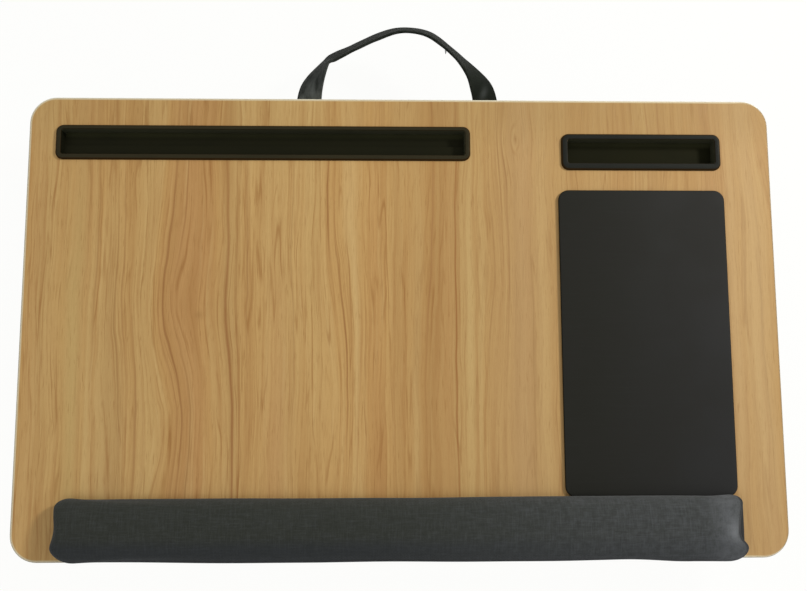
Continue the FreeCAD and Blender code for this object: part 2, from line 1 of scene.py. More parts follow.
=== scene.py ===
"""Lap desk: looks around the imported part. Metres, +Z up, +Y away from the person who uses it."""
import math

import bmesh
import bpy
from mathutils import Matrix, Vector, noise


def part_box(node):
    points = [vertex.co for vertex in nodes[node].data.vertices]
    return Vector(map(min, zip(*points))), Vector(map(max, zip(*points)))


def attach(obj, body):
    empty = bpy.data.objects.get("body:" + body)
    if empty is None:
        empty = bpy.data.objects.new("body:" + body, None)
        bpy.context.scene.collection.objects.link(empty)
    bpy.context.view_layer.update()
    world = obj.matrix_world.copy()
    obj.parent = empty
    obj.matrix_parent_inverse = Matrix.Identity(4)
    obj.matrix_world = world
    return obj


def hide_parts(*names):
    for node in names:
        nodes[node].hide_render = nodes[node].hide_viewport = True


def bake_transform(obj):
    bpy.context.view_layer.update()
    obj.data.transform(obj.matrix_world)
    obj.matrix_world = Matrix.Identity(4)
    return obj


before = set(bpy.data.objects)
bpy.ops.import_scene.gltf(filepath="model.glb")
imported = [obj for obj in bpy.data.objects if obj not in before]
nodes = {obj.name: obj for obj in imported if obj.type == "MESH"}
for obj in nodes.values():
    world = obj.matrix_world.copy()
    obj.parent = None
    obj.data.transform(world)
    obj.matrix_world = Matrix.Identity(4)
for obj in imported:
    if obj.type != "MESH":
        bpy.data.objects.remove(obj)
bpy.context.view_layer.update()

MM = 0.001
WHITE = (1.0, 1.0, 1.0, 1.0)

# The board in plan, in millimetres: its middle, its half sides and its corner radius
BOARD_Y = -34.933
HALF_LENGTH, HALF_DEPTH, BOARD_CORNER = 300.0, 183.0, 21.0

# How far the trays' rims stand above the board, their walls and their depth below its top
TRAY_RIM, TRAY_WALL, TRAY_DEPTH = 0.002, 0.0012, 0.008
BOLSTER_CORNER = 0.022
ZIP_HALF_LENGTH = 0.178
CLOTH_FRAMES = 16
TINY = 1e-6


# Shader nodes

def paint_colour(code):
    """Linear colour of a paint chart code such as C09A62."""
    parts = [int(code[i:i + 2], 16) / 255 for i in (0, 2, 4)]
    return (*[p / 12.92 if p <= 0.04045 else ((p + 0.055) / 1.055) ** 2.4 for p in parts], 1.0)


def put(value, socket):
    """Links a value that the shader works out, or sets a number or a paint code."""
    value = value.socket if isinstance(value, Value) else value
    if isinstance(value, bpy.types.NodeSocket):
        socket.id_data.links.new(value, socket)
    else:
        socket.default_value = paint_colour(value) if isinstance(value, str) else value


def make(tree, kind, inputs=(), **settings):
    """Node with its settings and its inputs, which are given in order or by name."""
    node = tree.nodes.new("ShaderNode" + kind)
    for setting, value in settings.items():
        setattr(node, setting, value)
    for key, value in inputs.items() if isinstance(inputs, dict) else enumerate(inputs):
        put(value, node.inputs[key])
    return node


class Value:
    """Number, place or colour that the shader works out, with the usual arithmetic."""

    def __init__(self, socket):
        self.socket = socket

    def make(self, kind, inputs, output=0, **settings):
        return Value(make(self.socket.id_data, kind, inputs, **settings).outputs[output])

    def maths(self, operation, *others):
        return self.make("Math", (self, *others), operation=operation)

    def __add__(self, other):
        return self.maths("ADD", other)

    def __sub__(self, other):
        return self.maths("SUBTRACT", other)

    def __rsub__(self, other):
        return self.make("Math", (other, self), operation="SUBTRACT")

    def __mul__(self, other):
        return self.maths("MULTIPLY", other)

    def __truediv__(self, other):
        return self.maths("DIVIDE", other)

    def __abs__(self):
        return self.maths("ABSOLUTE")

    def fit(self, low, high, new_low=0.0, new_high=1.0, way="SMOOTHSTEP"):
        return self.make("MapRange", (self, low, high, new_low, new_high),
                         interpolation_type=way)

    def hump(self, centre, width):
        """1 at the centre, falling off on both sides as a bell."""
        away = (self - centre) / width
        return (away * away * -1.0).maths("EXPONENT")

    def ramp(self, stops):
        node = make(self.socket.id_data, "ValToRGB", (self,))
        marks = node.color_ramp.elements
        while len(marks) < len(stops):
            marks.new(1.0)
        for mark, (at, code) in zip(marks, stops):
            mark.position = at
            mark.color = paint_colour(code)
        return Value(node.outputs[0])

    def curve(self, points, half_range):
        """Smooth curve through (at, height) points, for values from 0 to 1."""
        node = make(self.socket.id_data, "FloatCurve", {"Value": self})
        line = node.mapping.curves[0]
        marks = [(at, 0.5 + 0.5 * height / half_range) for at, height in points]
        line.points[0].location = marks[0]
        line.points[1].location = marks[-1]
        for at, height in marks[1:-1]:
            line.points.new(at, height)
        node.mapping.update()
        return (Value(node.outputs[0]) - 0.5) * (2 * half_range)

    def mix(self, first, second):
        """The first colour where this value is 0 and the second where it is 1."""
        return self.make("Mix", {0: self, 6: first, 7: second}, output=2, data_type="RGBA")

    def axes(self):
        return tuple(Value(part) for part in
                     make(self.socket.id_data, "SeparateXYZ", (self,)).outputs)

    def noise(self, scale=1.0, detail=2.0, roughness=0.5):
        return self.make("TexNoise", {"Vector": self, "Scale": scale, "Detail": detail,
                                      "Roughness": roughness})


def join(x, y, z=0.0):
    return x.make("CombineXYZ", (x, y, z))


def past_outline(x, y):
    """Distance from the board's outline in millimetres, negative on the board."""
    over_x = abs(x) - (HALF_LENGTH - BOARD_CORNER)
    over_y = abs(y - BOARD_Y) - (HALF_DEPTH - BOARD_CORNER)
    out_x, out_y = over_x.maths("MAXIMUM", 0.0), over_y.maths("MAXIMUM", 0.0)
    outside = (out_x * out_x + out_y * out_y).maths("SQRT")
    inside = over_x.maths("MAXIMUM", over_y).maths("MINIMUM", 0.0)
    return outside + inside - BOARD_CORNER


# Camera, light and floor

def add_object(name, data):
    """Object at the origin, in the scene."""
    thing = bpy.data.objects.new(name, data)
    bpy.context.scene.collection.objects.link(thing)
    return thing


def add_camera():
    """Nearly straight above the board, tilted 7 degrees towards its back edge."""
    camera_data = bpy.data.cameras.new("camera")
    camera_data.sensor_width = 36.0
    camera_data.lens = 40.763
    camera_data.clip_start = 0.01
    camera_data.clip_end = 50.0
    camera = add_object("camera", camera_data)
    right = Vector((0.99964, -0.00309, 0.02694)).normalized()
    back = right.cross(Vector((-0.00032, 0.99209, 0.12556))).normalized()
    up = back.cross(right)
    turn = Matrix((right, up, back)).transposed().to_4x4()
    camera.matrix_world = Matrix.Translation((-0.01934, -0.10445, 0.77646)) @ turn
    bpy.context.scene.camera = camera


def add_lamp(name, place, size, watts, tint):
    """Round lamp that looks at the middle of the desk and isn't seen itself."""
    lamp_data = bpy.data.lights.new(name, "AREA")
    lamp_data.shape = "DISK"
    lamp_data.size = size
    lamp_data.energy = watts
    lamp_data.color = tint
    lamp = add_object(name, lamp_data)
    lamp.location = place
    lamp.rotation_euler = (-Vector(place)).to_track_quat("-Z", "Y").to_euler()
    lamp.visible_camera = False


def seen_directly(tree):
    """1 for rays that show the background: from the camera, off gloss or through glass."""
    rays = make(tree, "LightPath").outputs
    seen = Value(rays["Is Camera Ray"]).maths("MAXIMUM", rays["Is Glossy Ray"])
    return seen.maths("MAXIMUM", rays["Is Transmission Ray"])


def light_world():
    """Soft cool light all round, with a white background where it is seen."""
    world = bpy.data.worlds.new("studio")
    bpy.context.scene.world = world
    world.use_nodes = True
    tree = world.node_tree
    lit = tree.nodes["Background"]
    put((0.96, 0.98, 1.0, 1.0), lit.inputs["Color"])
    put(0.50, lit.inputs["Strength"])
    shown = make(tree, "Background", {"Color": WHITE, "Strength": 1.0})
    mix = make(tree, "MixShader", (seen_directly(tree), lit.outputs[0], shown.outputs[0]))
    put(mix.outputs[0], tree.nodes["World Output"].inputs["Surface"])


def add_floor():
    """White sweep that keeps the object's shadow and lets light and view pass from below."""
    mesh = bmesh.new()
    bmesh.ops.create_grid(mesh, x_segments=1, y_segments=1, size=4.0)
    bmesh.ops.translate(mesh, verts=mesh.verts, vec=(0, 0, -0.0005))
    data = bpy.data.meshes.new("floor")
    mesh.to_mesh(data)
    mesh.free()
    floor = add_object("floor", data)
    paint = Finish("studio_floor", (0.86, 0.86, 0.85, 1.0), roughness=0.9, specular=0.0)
    material, tree = paint.finished(), paint.tree
    glow = make(tree, "Emission", {"Color": (1.0, 1.0, 0.985, 1.0)})
    lit = make(tree, "MixShader", (seen_directly(tree) * 0.96, paint.shader.outputs[0],
                                   glow.outputs[0]))
    from_below = Value(make(tree, "NewGeometry").outputs["Backfacing"])
    open_to = from_below.maths("MAXIMUM", make(tree, "LightPath").outputs["Is Shadow Ray"])
    clear = make(tree, "BsdfTransparent")
    one_sided = make(tree, "MixShader", (open_to, lit.outputs[0], clear.outputs[0]))
    put(one_sided.outputs[0], tree.nodes["Material Output"].inputs["Surface"])
    data.materials.append(material)


# Materials

class Finish:
    """One material: a tone with others laid over it, and the shader that they end in."""

    def __init__(self, name, tone, roughness, specular=0.5, metallic=0.0, sheen=0.0):
        self.tone = tone
        self.material = bpy.data.materials.new(name)
        self.material.use_nodes = True
        self.tree = self.material.node_tree
        self.shader = self.tree.nodes["Principled BSDF"]
        self.set("Roughness", roughness)
        self.set("Specular IOR Level", specular)
        self.set("Metallic", metallic)
        if sheen:
            self.set("Sheen Weight", sheen)
            self.set("Sheen Roughness", 0.5)
        self.coordinates = make(self.tree, "TexCoord").outputs

    def set(self, name, value):
        put(value, self.shader.inputs[name])

    def place(self, x=1000, y=1000, z=1000, uv=False):
        """Place on the piece, in millimetres unless another scale is given."""
        vector = self.coordinates["UV" if uv else "Object"]
        return Value(make(self.tree, "Mapping", {"Vector": vector, "Scale": (x, y, z)}).outputs[0])

    def facing(self):
        """How far the surface looks along x, y and z: 1 straight along it, -1 against it."""
        return Value(make(self.tree, "NewGeometry").outputs["True Normal"]).axes()

    def glaze(self, share, tone):
        """Lays a tone over the ones before it, as thick as the share says."""
        self.tone = share.mix(self.tone, tone)

    def bump(self, height, depth):
        """Relief, with its depth in metres where the height runs from 0 to 1."""
        self.set("Normal", Value(make(self.tree, "Bump", {
            "Strength": 1.0, "Distance": depth, "Height": height}).outputs[0]))

    def finished(self):
        self.set("Base Color", self.tone)
        return self.material


# Bends of the grain: place, half width, and (how far back, pull in millimetres)
GRAIN_BENDS = (
    (-181, 21, ((0.0, 4), (0.14, 8), (0.28, 11), (0.34, 8), (0.45, -3), (0.50, -8),
                (0.55, -10), (0.66, -6), (0.78, -1), (1.0, 1))),
    (-138, 14, ((0.0, 9), (0.2, 7), (0.34, 3), (0.5, 0), (0.66, 1), (1.0, 0))),
    (-50, 12, ((0.0, 6), (0.33, 8), (0.5, 3), (0.61, -1), (0.7, -5), (1.0, -8))),
    (-222, 12, ((0.0, 6), (0.3, 5), (0.45, 1), (0.5, -2), (0.66, -3), (1.0, -3))),
    (22, 9, ((0.0, -6), (0.3, -5), (0.5, -3), (0.62, 1), (1.0, 3))),
    (72, 10, ((0.0, -2), (0.3, -4), (0.5, 0), (0.66, 4), (0.8, -2), (1.0, 0))),
    (288, 14, ((0.0, 6), (0.3, 3), (0.5, 0), (0.7, -2), (1.0, -14))),
)

# Bands and streaks that stand out: place, half width, tone, strength, middle and half length
GRAIN_STREAKS = (
    (25, 28, "9A6E3C", 0.42, 0.45, 1.40), (-4, 4, "9E7240", 0.20, 0.40, 0.80),
    (94, 13, "E0C590", 0.24, 0.45, 1.40), (112, 14, "E0C590", 0.12, 0.50, 1.40),
    (266, 6, "E6CC98", 0.28, 0.40, 0.80), (244, 10, "E0C590", 0.16, 0.35, 0.70),
    (-230, 8, "9E7240", 0.30, 0.20, 0.40), (-139, 6, "9E7240", 0.26, 0.45, 0.70),
    (-96, 5, "9E7240", 0.16, 0.30, 0.35),
    (-181, 1.02, "926234", 0.84, 0.52, 0.45), (-178, 4, "B1824C", 0.34, 0.45, 0.50),
    (-171, 0.61, "986838", 0.68, 0.80, 0.18), (-186, 0.54, "986A38", 0.41, 0.35, 0.25),
    (-172, 0.82, "926432", 0.61, 0.25, 0.20), (-139, 1.09, "956335", 0.78, 0.40, 0.50),
    (-132, 0.68, "9A6C3A", 0.57, 0.45, 0.50), (-124, 0.54, "9E7242", 0.54, 0.62, 0.26),
    (-57, 0.75, "926232", 0.81, 0.76, 0.12), (-50, 0.82, "936334", 0.74, 0.46, 0.24),
    (-226, 0.82, "9A6E3C", 0.61, 0.48, 0.34), (-220, 0.54, "9D7140", 0.54, 0.62, 0.16),
    (-212, 0.82, "9E7242", 0.57, 0.30, 0.20), (-243, 0.61, "A07644", 0.54, 0.62, 0.30),
    (42, 0.61, "915A27", 0.85, 0.50, 0.60), (36, 5, "B98C56", 0.36, 0.50, 0.60),
    (22, 0.68, "9E7042", 0.57, 0.70, 0.30), (14, 0.54, "A07642", 0.51, 0.25, 0.30),
    (70, 0.68, "A07444", 0.57, 0.60, 0.30), (76, 5.5, "BA8E59", 0.34, 0.40, 0.40),
    (84, 0.54, "A27646", 0.49, 0.66, 0.28), (104, 0.48, "A47C4A", 0.46, 0.40, 0.40),
    (288, 0.75, "A07642", 0.74, 0.45, 0.40), (276, 0.54, "AA824E", 0.47, 0.70, 0.30),
    (-88, 0.54, "A07848", 0.49, 0.60, 0.30), (-100, 8, "C09360", 0.35, 0.25, 0.30),
    (199, 0.54, "A67644", 0.74, 0.93, 0.14), (209, 0.54, "A67644", 0.68, 0.93, 0.14),
    (-258, 8, "CBAF70", 0.62, 0.40, 0.60), (-246, 2.4, "CFB074", 0.40, 0.40, 0.60),
    (12, 4, "D5B67A", 0.40, 0.30, 0.45), (53, 4.5, "D1B478", 0.50, 0.45, 0.50),
    (62, 2.5, "D3B67A", 0.36, 0.45, 0.50), (-38, 3, "D5B67C", 0.45, 0.60, 0.40),
    (112, 5, "D6B479", 0.45, 0.50, 0.60), (-292, 7, "BE8F57", 0.40, 0.50, 0.60),
    (284, 14, "E0C490", 0.42, 0.50, 0.80), (83, 5, "A5763F", 0.42, 0.99, 0.05),
    (80, 0.60, "8F6032", 0.60, 0.88, 0.09), (84.5, 0.55, "8F6032", 0.50, 0.85, 0.06),
    (87.5, 0.50, "956635", 0.44, 0.84, 0.05), (105, 0.60, "9A6C3A", 0.46, 0.93, 0.07),
)


def draw_knot(wood, x, y, knot_x, knot_y):
    """Small knot by the phone slot: a dark heart in a pale eye with a broken dark outline."""
    ring_x, ring_y = (x - knot_x) / 3.0, (y - knot_y) / 9.0
    ring = (ring_x * ring_x + ring_y * ring_y).maths("SQRT")
    left_half = ring_x.fit(0.5, -0.6)
    wood.glaze(ring.hump(0.85, 0.22) * left_half * 0.42, "CFAC72")
    wood.glaze(ring.hump(1.35, 0.22) * left_half * 0.34, "996835")
    lower_right = ring_x.fit(-0.2, 0.5) * ring_y.fit(0.6, -0.6)
    wood.glaze(ring.hump(1.0, 0.16) * lower_right * 0.30, "A0703C")
    wood.glaze(ring.hump(0.0, 0.36) * 0.50, "8F5F30")


def wood_laminate():
    """Tan wood print whose grain runs from front to back and bends round a flame and a knot."""
    wood = Finish("wood_laminate", None, roughness=0.5, specular=0.16)
    x, y, _ = wood.place().axes()
    up = y.fit(BOARD_Y - HALF_DEPTH, BOARD_Y + HALF_DEPTH, way="LINEAR")
    broad = join(x * 0.016, y * 0.007, 3.0).noise(detail=1.0)
    small = join(x * 0.07, y * 0.022, 9.0).noise(detail=1.0)
    pulls = (broad - 0.5) * 9.0 + (small - 0.5) * 3.0
    for centre, reach, path in GRAIN_BENDS:
        pulls += x.hump(centre, reach) * up.curve(path, 16.0)
    knot_x, knot_y = 92.0, BOARD_Y + 150.0
    knot_near = x.hump(knot_x, 11.0) * y.hump(knot_y, 24.0)
    pulls += (x - knot_x) / 9.0 * knot_near * 6.0
    grain_x = x - pulls

    def along(across, length, seed, detail=2.0, roughness=0.5):
        """Noise drawn out along the grain: its width and length in millimetres."""
        return join(grain_x * (1 / across), y * (1 / length), seed).noise(
            detail=detail, roughness=roughness)

    wood.tone = along(30.0, 900.0, 1.7, detail=1.0).ramp((
        (0.30, "CBA86C"), (0.44, "C8A165"), (0.56, "C49A5E"), (0.70, "C0935B")))
    band = along(11.0, 420.0, 5.1)
    wood.glaze(band.fit(0.50, 0.72, 0.0, 0.40), "B0834B")
    wood.glaze(band.fit(0.46, 0.28, 0.0, 0.34), "D3B276")

    # Growth rings: each darkens slowly across and ends in a sharper line
    for spacing, seed, depth, tone in ((9.0, 3.3, 0.38, "A4733F"), (3.4, 7.9, 0.26, "A87B45")):
        lay = (grain_x * (1 / spacing) + along(24.0, 460.0, seed, 1.0) * 2.4
               + along(6.0, 120.0, seed + 1, 1.0) * 0.5)
        across = lay.maths("FRACT")
        dark = across.fit(0.25, 0.93) * across.fit(1.0, 0.94)
        shown = along(spacing * 2.2, 150.0, seed + 2).fit(0.36, 0.66, 0.04, depth)
        wood.glaze(dark * shown, tone)
    streak = along(1.7, 95.0, 8.4, detail=3.0, roughness=0.6)
    wood.glaze(streak.fit(0.52, 0.72, 0.0, 0.28), "AA7B47")
    wood.glaze(streak.fit(0.44, 0.26, 0.0, 0.24), "D6B77D")

    # Thin broken lines, where a noise drawn out along the grain crosses its middle
    for across, length, seed, width, strength in ((12.0, 330.0, 21.0, 0.018, 0.58),
                                                  (7.0, 190.0, 33.0, 0.028, 0.42),
                                                  (4.2, 110.0, 47.0, 0.040, 0.20)):
        off = abs(along(across, length, seed, roughness=0.35) - 0.5)
        shown = along(across * 0.8, 55.0, seed + 3).fit(0.40, 0.62, 0.0, strength)
        wood.glaze(off.fit(width, 0.0) * shown, "96642F")

    for centre, half_width, tone, strength, at, half_length in GRAIN_STREAKS:
        fade = up.hump(at, half_length)
        wood.glaze(grain_x.hump(centre, half_width) * fade * strength, tone)
    wood.glaze(x.hump(-160.0, 12.0) * y.hump(BOARD_Y + 52.0, 42.0) * 0.35, "BC8D58")
    wood.glaze(x.hump(-161.0, 3.5) * y.hump(BOARD_Y + 6.0, 3.2) * 0.34, "946A38")
    draw_knot(wood, x, y, knot_x, knot_y)

    pores = join(x * 1.9, y * 0.075, 4.0).noise().fit(0.56, 0.68)
    wood.glaze(pores * 0.14, "93642F")
    wood.glaze(join(x * 0.95, y * 0.055, 14.0).noise().fit(0.61, 0.71, 0.0, 0.34), "93642F")
    fine = join(x * 4.5, y * 0.22, 7.0).noise()
    wood.glaze(fine.fit(0.40, 0.62, 0.0, 0.07), "926638")
    wood.glaze(x.fit(20.0, 95.0, 0.0, 0.32), "9A7A50")
    wood.glaze(up.fit(0.86, 0.97) * x.fit(-40.0, 150.0, 0.12, 0.22), "93794B")
    # A pale cream line just inside the board's outline, fading out towards the right end.
    pale_outline_line = past_outline(x, y).fit(-2.0, -1.6)
    wood.glaze(pale_outline_line * x.fit(297.0, 260.0, 0.0, 0.75), "D9CBA6")
    wood.set("Roughness", wood.place(60, 25, 60).noise(detail=3.0).fit(0.3, 0.7, 0.42, 0.52))
    wood.bump(pores * -0.7 + fine * 0.4, 0.00004)
    return wood.finished()


def moulded_plastic(name, tone, lighter, roughness, grain):
    """Dark moulded plastic with a fine spark-eroded grain and faint handling marks."""
    plastic = Finish(name, tone, roughness, specular=0.3)
    fine = plastic.place().noise(scale=3.2)
    cloud = plastic.place(22, 60, 60).noise(detail=3.0)
    plastic.glaze(cloud.fit(0.35, 0.68), lighter)
    plastic.glaze(fine.fit(0.45, 0.7) * 0.2, lighter)
    plastic.set("Roughness", cloud.fit(0.3, 0.7, roughness - 0.07, roughness + 0.08))
    plastic.bump(fine, grain)
    return plastic.finished()


def tray_plastic(name, rim_top, mouth, rim_tone, rim_gloss, floor_tone):
    """Tray moulding: satin flat on the rim; brown-black round its edge, which is partly its colour
    and partly painted shade; olive-black inside, evened out with painted light and shade.
    """
    # Base tone, left mostly on the rounded outer edge below the rim's flat: a brown-black that is
    # partly the moulding's colour and partly painted shade where the edge falls away.
    plastic = Finish(name, "2A1A06", roughness=0.5, specular=0.11)
    x, y, z = plastic.place().axes()
    within = 1.0
    for value, low, high in ((x, mouth.x0, mouth.x1), (y, mouth.y0, mouth.y1)):
        within = (value.fit(low * 1000 - 0.1, low * 1000 + 0.1)
                  * value.fit(high * 1000 + 0.1, high * 1000 - 0.1) * within)
    fine = plastic.place().noise(scale=3.2)
    cloud = plastic.place(22, 60, 60).noise(detail=3.0)
    top, back = rim_top * 1000, mouth.y1 * 1000
    on_rim = z.fit(top - 0.24, top - 0.03)
    inside = within * z.fit(top - 0.3, top - 0.8)
    face_x, face_y, face_z = plastic.facing()
    # Painted light and shade inside: the floor is paler where the back wall's shadow falls; the
    # back wall and the right end wall, which face away from the lamp, are painted paler, and the
    # other walls darker, so that the inside looks evenly lit.
    inside_with_painted_light = y.fit(back - 6.0, back - 2.0).mix(floor_tone, "31311F")
    inside_with_painted_light = face_z.fit(0.8, 0.3).mix(inside_with_painted_light, "121209")
    inside_with_painted_light = face_y.fit(-0.3, -0.8).mix(inside_with_painted_light, "3F3F2F")
    inside_with_painted_light = face_x.fit(-0.3, -0.8).mix(inside_with_painted_light, "3C3C2C")
    plastic.glaze(on_rim, rim_tone)
    plastic.glaze(inside, inside_with_painted_light)
    plastic.glaze(cloud.fit(0.40, 0.70, 0.0, 0.20), "141510")
    plastic.glaze(fine.fit(0.45, 0.7) * 0.15, "22231F")
    plastic.set("Specular Tint", on_rim.mix("DCD4A8", rim_gloss))
    plastic.set("Specular IOR Level", inside.fit(0.0, 1.0, 0.10, 0.075))
    plastic.set("Roughness", cloud.fit(0.3, 0.7, 0.46, 0.6))
    plastic.bump(fine, 0.00003)
    return plastic.finished()


def pad_surface(top):
    """Charcoal micro-texture of the mouse pad, a little uneven in tone, with painted light towards
    its right end and painted shade on its rolled edge.
    """
    pad = Finish("mouse_pad_surface", "1D1D1A", roughness=0.7, specular=0.12)
    weave = pad.place(1500, 1500, 1500).noise(scale=2.4, roughness=0.6)
    cloud = pad.place(14, 14, 14).noise(detail=3.0)
    linen_tones = pad.place(20, 900, 100).noise()
    x, _, z = pad.place().axes()
    top *= 1000
    # Painted light: paler towards the right end, the side of the lamp.
    pad.glaze(x.fit(127.0, 262.0), "262627")
    pad.glaze(cloud.fit(0.40, 0.66, 0.0, 0.5), "232220")
    pad.glaze(linen_tones.fit(0.5, 0.75, 0.0, 0.25), "272827")
    pad.glaze(weave.fit(0.45, 0.72, 0.0, 0.2), "31322F")
    # Painted shade: the rolled-over edge, below the flat top, is darker.
    pad.glaze(z.fit(top - 0.01, top - 0.12), "0A0805")
    pad.set("Specular Tint", "F4F0D6")
    pad.set("Roughness", cloud.fit(0.3, 0.7, 0.56, 0.68))
    pad.bump(weave, 0.00006)
    return pad.finished()


def hatch_linen_with_painted_light(cloth, u, v, patch, threads, dark, paler, wear_and_painted_light):
    """Hatched look of the wrist rest's linen with pale worn spots; painted light makes it paler
    towards its right end, with a pale patch and a painted highlight there, and painted shade
    darkens its front.
    """
    # Painted light: a ramp that grows towards the right end, on the lamp's side; along it the
    # hatching shows more and the linen is paler.
    lamp_side = u.fit(-60.0, 262.0)
    for across, along, seed in ((16.0, 1.7, 11.0), (1.7, 16.0, 15.0),
                                (9.0, 1.1, 19.0), (1.1, 9.0, 23.0)):
        hatch = join(u * (1 / across), v * (1 / along), seed).noise()
        strength = lamp_side.fit(0.0, 1.0, 0.09, 0.21)
        cloth.glaze(hatch.fit(0.50, 0.68) * strength, paler)
        cloth.glaze(hatch.fit(0.50, 0.34) * strength, dark)
    # Painted shade: the front of the crown, turned away from the lamp, and a strip along the front
    # edge are darker.
    cloth.glaze(v.fit(-3.0, -14.0) * u.fit(180.0, -60.0, 0.2, 0.40), "2A2D36")
    cloth.glaze(v.fit(-22.0, -25.0, 0.0, 0.6), "131417")
    cloth.glaze(lamp_side * 0.30, paler)
    spots = threads * 0.6 + patch.fit(0.40, 0.66)
    cloth.glaze(spots * lamp_side * 0.08, wear_and_painted_light)
    cloth.glaze(patch.fit(0.52, 0.34) * lamp_side * 0.08, dark)
    # Painted light at the right end: a pale patch mottled with the wear noise, and a painted
    # highlight.
    cloth.glaze(u.hump(250.0, 13.0) * patch.fit(0.30, 0.60, 0.55, 1.0) * 0.34, wear_and_painted_light)
    cloth.glaze(u.hump(257.0, 6.0) * v.hump(-2.0, 8.0) * 0.36, "8E9093")
    cloth.glaze(u.fit(261.0, 264.5) * 0.7, "15161A")


def woven(name, dark, light, slub, thread, relief, heather=0.5, slub_run=17.0, mottle=0.35,
          linen_tones=None):
    """Plain weave on the piece's own UV map: thread spacing and slub length in millimetres."""
    cloth = Finish(name, dark, roughness=0.9, specular=0.08, sheen=0.12)
    u, v, _ = cloth.place(uv=True).axes()
    shift = (cloth.place(110, 110, 1, uv=True).noise() - 0.5) * (thread * 1.6)
    turn = math.pi / thread
    warp, weft = (((way + shift) * turn).maths("SINE") for way in (u, v))
    over, under = (((way + shift) * (turn / 2)).maths("SINE") for way in (u, v))
    cross = (over * under).fit(-0.25, 0.25)
    height = warp * warp * cross + weft * weft * (1.0 - cross)
    slubs = {"scale": 0.8, "detail": 3.0, "roughness": 0.6}
    long_slub = join(u * (1 / slub_run), v * (1 / thread)).noise(**slubs)
    tall_slub = join(u * (1 / thread), v * (1 / slub_run), 5.0).noise(**slubs)
    cloud = cloth.place(26, 26, 1, uv=True).noise(detail=3.0, roughness=0.6)
    patch = cloth.place(150, 190, 1, uv=True).noise(detail=3.0, roughness=0.65)
    cloth.glaze(height.fit(0.05, 0.8), light)
    cloth.glaze(long_slub.fit(0.50, 0.72, 0.0, heather), slub)
    cloth.glaze(tall_slub.fit(0.50, 0.72, 0.0, heather), slub)
    cloth.glaze(cloud.fit(0.46, 0.74, 0.0, mottle), slub)
    cloth.glaze(patch.fit(0.44, 0.66, 0.0, mottle), slub)
    cloth.glaze(patch.fit(0.50, 0.34, 0.0, mottle), dark)
    # The wrist rest's linen also gets hatching, wear and painted light and shade.
    if linen_tones:
        threads = long_slub.fit(0.46, 0.66).maths("MAXIMUM", tall_slub.fit(0.46, 0.66))
        hatch_linen_with_painted_light(cloth, u, v, patch, threads, dark, *linen_tones)
    cloth.bump(height + long_slub * 0.5 + tall_slub * 0.5, relief)
    return cloth.finished()


def webbing(length):
    """Tightly woven flat strap: fine ribs across it, a plain selvedge at both edges, and painted
    highlights on its legs.
    """
    strap = Finish("strap_webbing", "0E110B", roughness=0.8, specular=0.07, sheen=0.03)
    u, v, _ = strap.place(uv=True).axes()
    shift = (strap.place(160, 160, 1, uv=True).noise() - 0.5) * 0.5
    rib = ((u + shift) * (math.pi / 0.55)).maths("SINE")
    cord = ((v + shift) * (math.pi / 0.8)).maths("SINE")
    height = rib * rib * 0.6 + cord * cord * 0.5
    cloud = strap.place(40, 130, 1, uv=True).noise(detail=4.0, roughness=0.65)
    rubbed = strap.place(220, 60, 1, uv=True).noise(detail=3.0)
    strap.glaze(height.fit(0.2, 1.0), "181C15")
    strap.glaze(cloud.fit(0.45, 0.70, 0.0, 0.5), "20251D")
    # Painted highlights: pale mottled patches where the lamp catches the left leg.
    left_leg = u.fit(75.0, 55.0)
    strap.glaze(cloud.fit(0.28, 0.74) * left_leg * 0.86, "5E615D")
    # Painted highlight: a soft grey patch across the right leg.
    highlight_at = length - 35.0
    right_leg_highlight = u.hump(highlight_at, 5.0) * (v + u * 0.5).hump(highlight_at * 0.5, 3.0)
    strap.glaze(right_leg_highlight * 0.55, "4A4D4A")
    strap.glaze(abs(v).fit(8.6, 9.8) * rubbed.fit(0.35, 0.7) * 0.6, "2E302B")
    strap.set("Roughness", cloud.fit(0.35, 0.7, 0.62, 0.8))
    strap.bump(height + cloud * 0.6, 0.00022)
    return strap.finished()


def brushed_metal(name, tone, roughness=0.3):
    """Steel or zinc with fine brush lines along x and a cloudy, handled look."""
    metal = Finish(name, tone, roughness, metallic=1.0)
    brush = metal.place(300, 4000, 4000).noise(detail=3.0)
    cloud = metal.place(180, 180, 180).noise(detail=3.0)
    metal.glaze(cloud.fit(0.4, 0.7, 0.0, 0.35), "6A6B6C")
    metal.set("Roughness", cloud.fit(0.3, 0.7, roughness - 0.06, roughness + 0.12))
    metal.bump(brush, 0.00001)
    return metal.finished()


def edge_banding():
    """Cream band round the board; its eased outer corner is grey brown, faint along the back edge
    and strongest at the right end.
    """
    band = Finish("edge_band_cream", "E8DFC6", roughness=0.45, specular=0.3)
    x, y, _ = band.place().axes()
    speckle = band.place().noise(scale=1.2, detail=3.0, roughness=0.65)
    upwards = band.facing()[2].fit(0.3, 0.6)
    band.glaze(speckle.fit(0.42, 0.68, 0.0, 0.6), "DCCFB0")
    corner = past_outline(x, y).fit(-0.75, -0.45)
    band.glaze(corner * upwards * y.fit(147.0, 130.0, 0.15, 0.9), "806E4E")
    band.glaze(x.fit(290.0, 298.0) * upwards * 0.8, "A08458")
    band.bump(speckle, 0.00001)
    return band.finished()


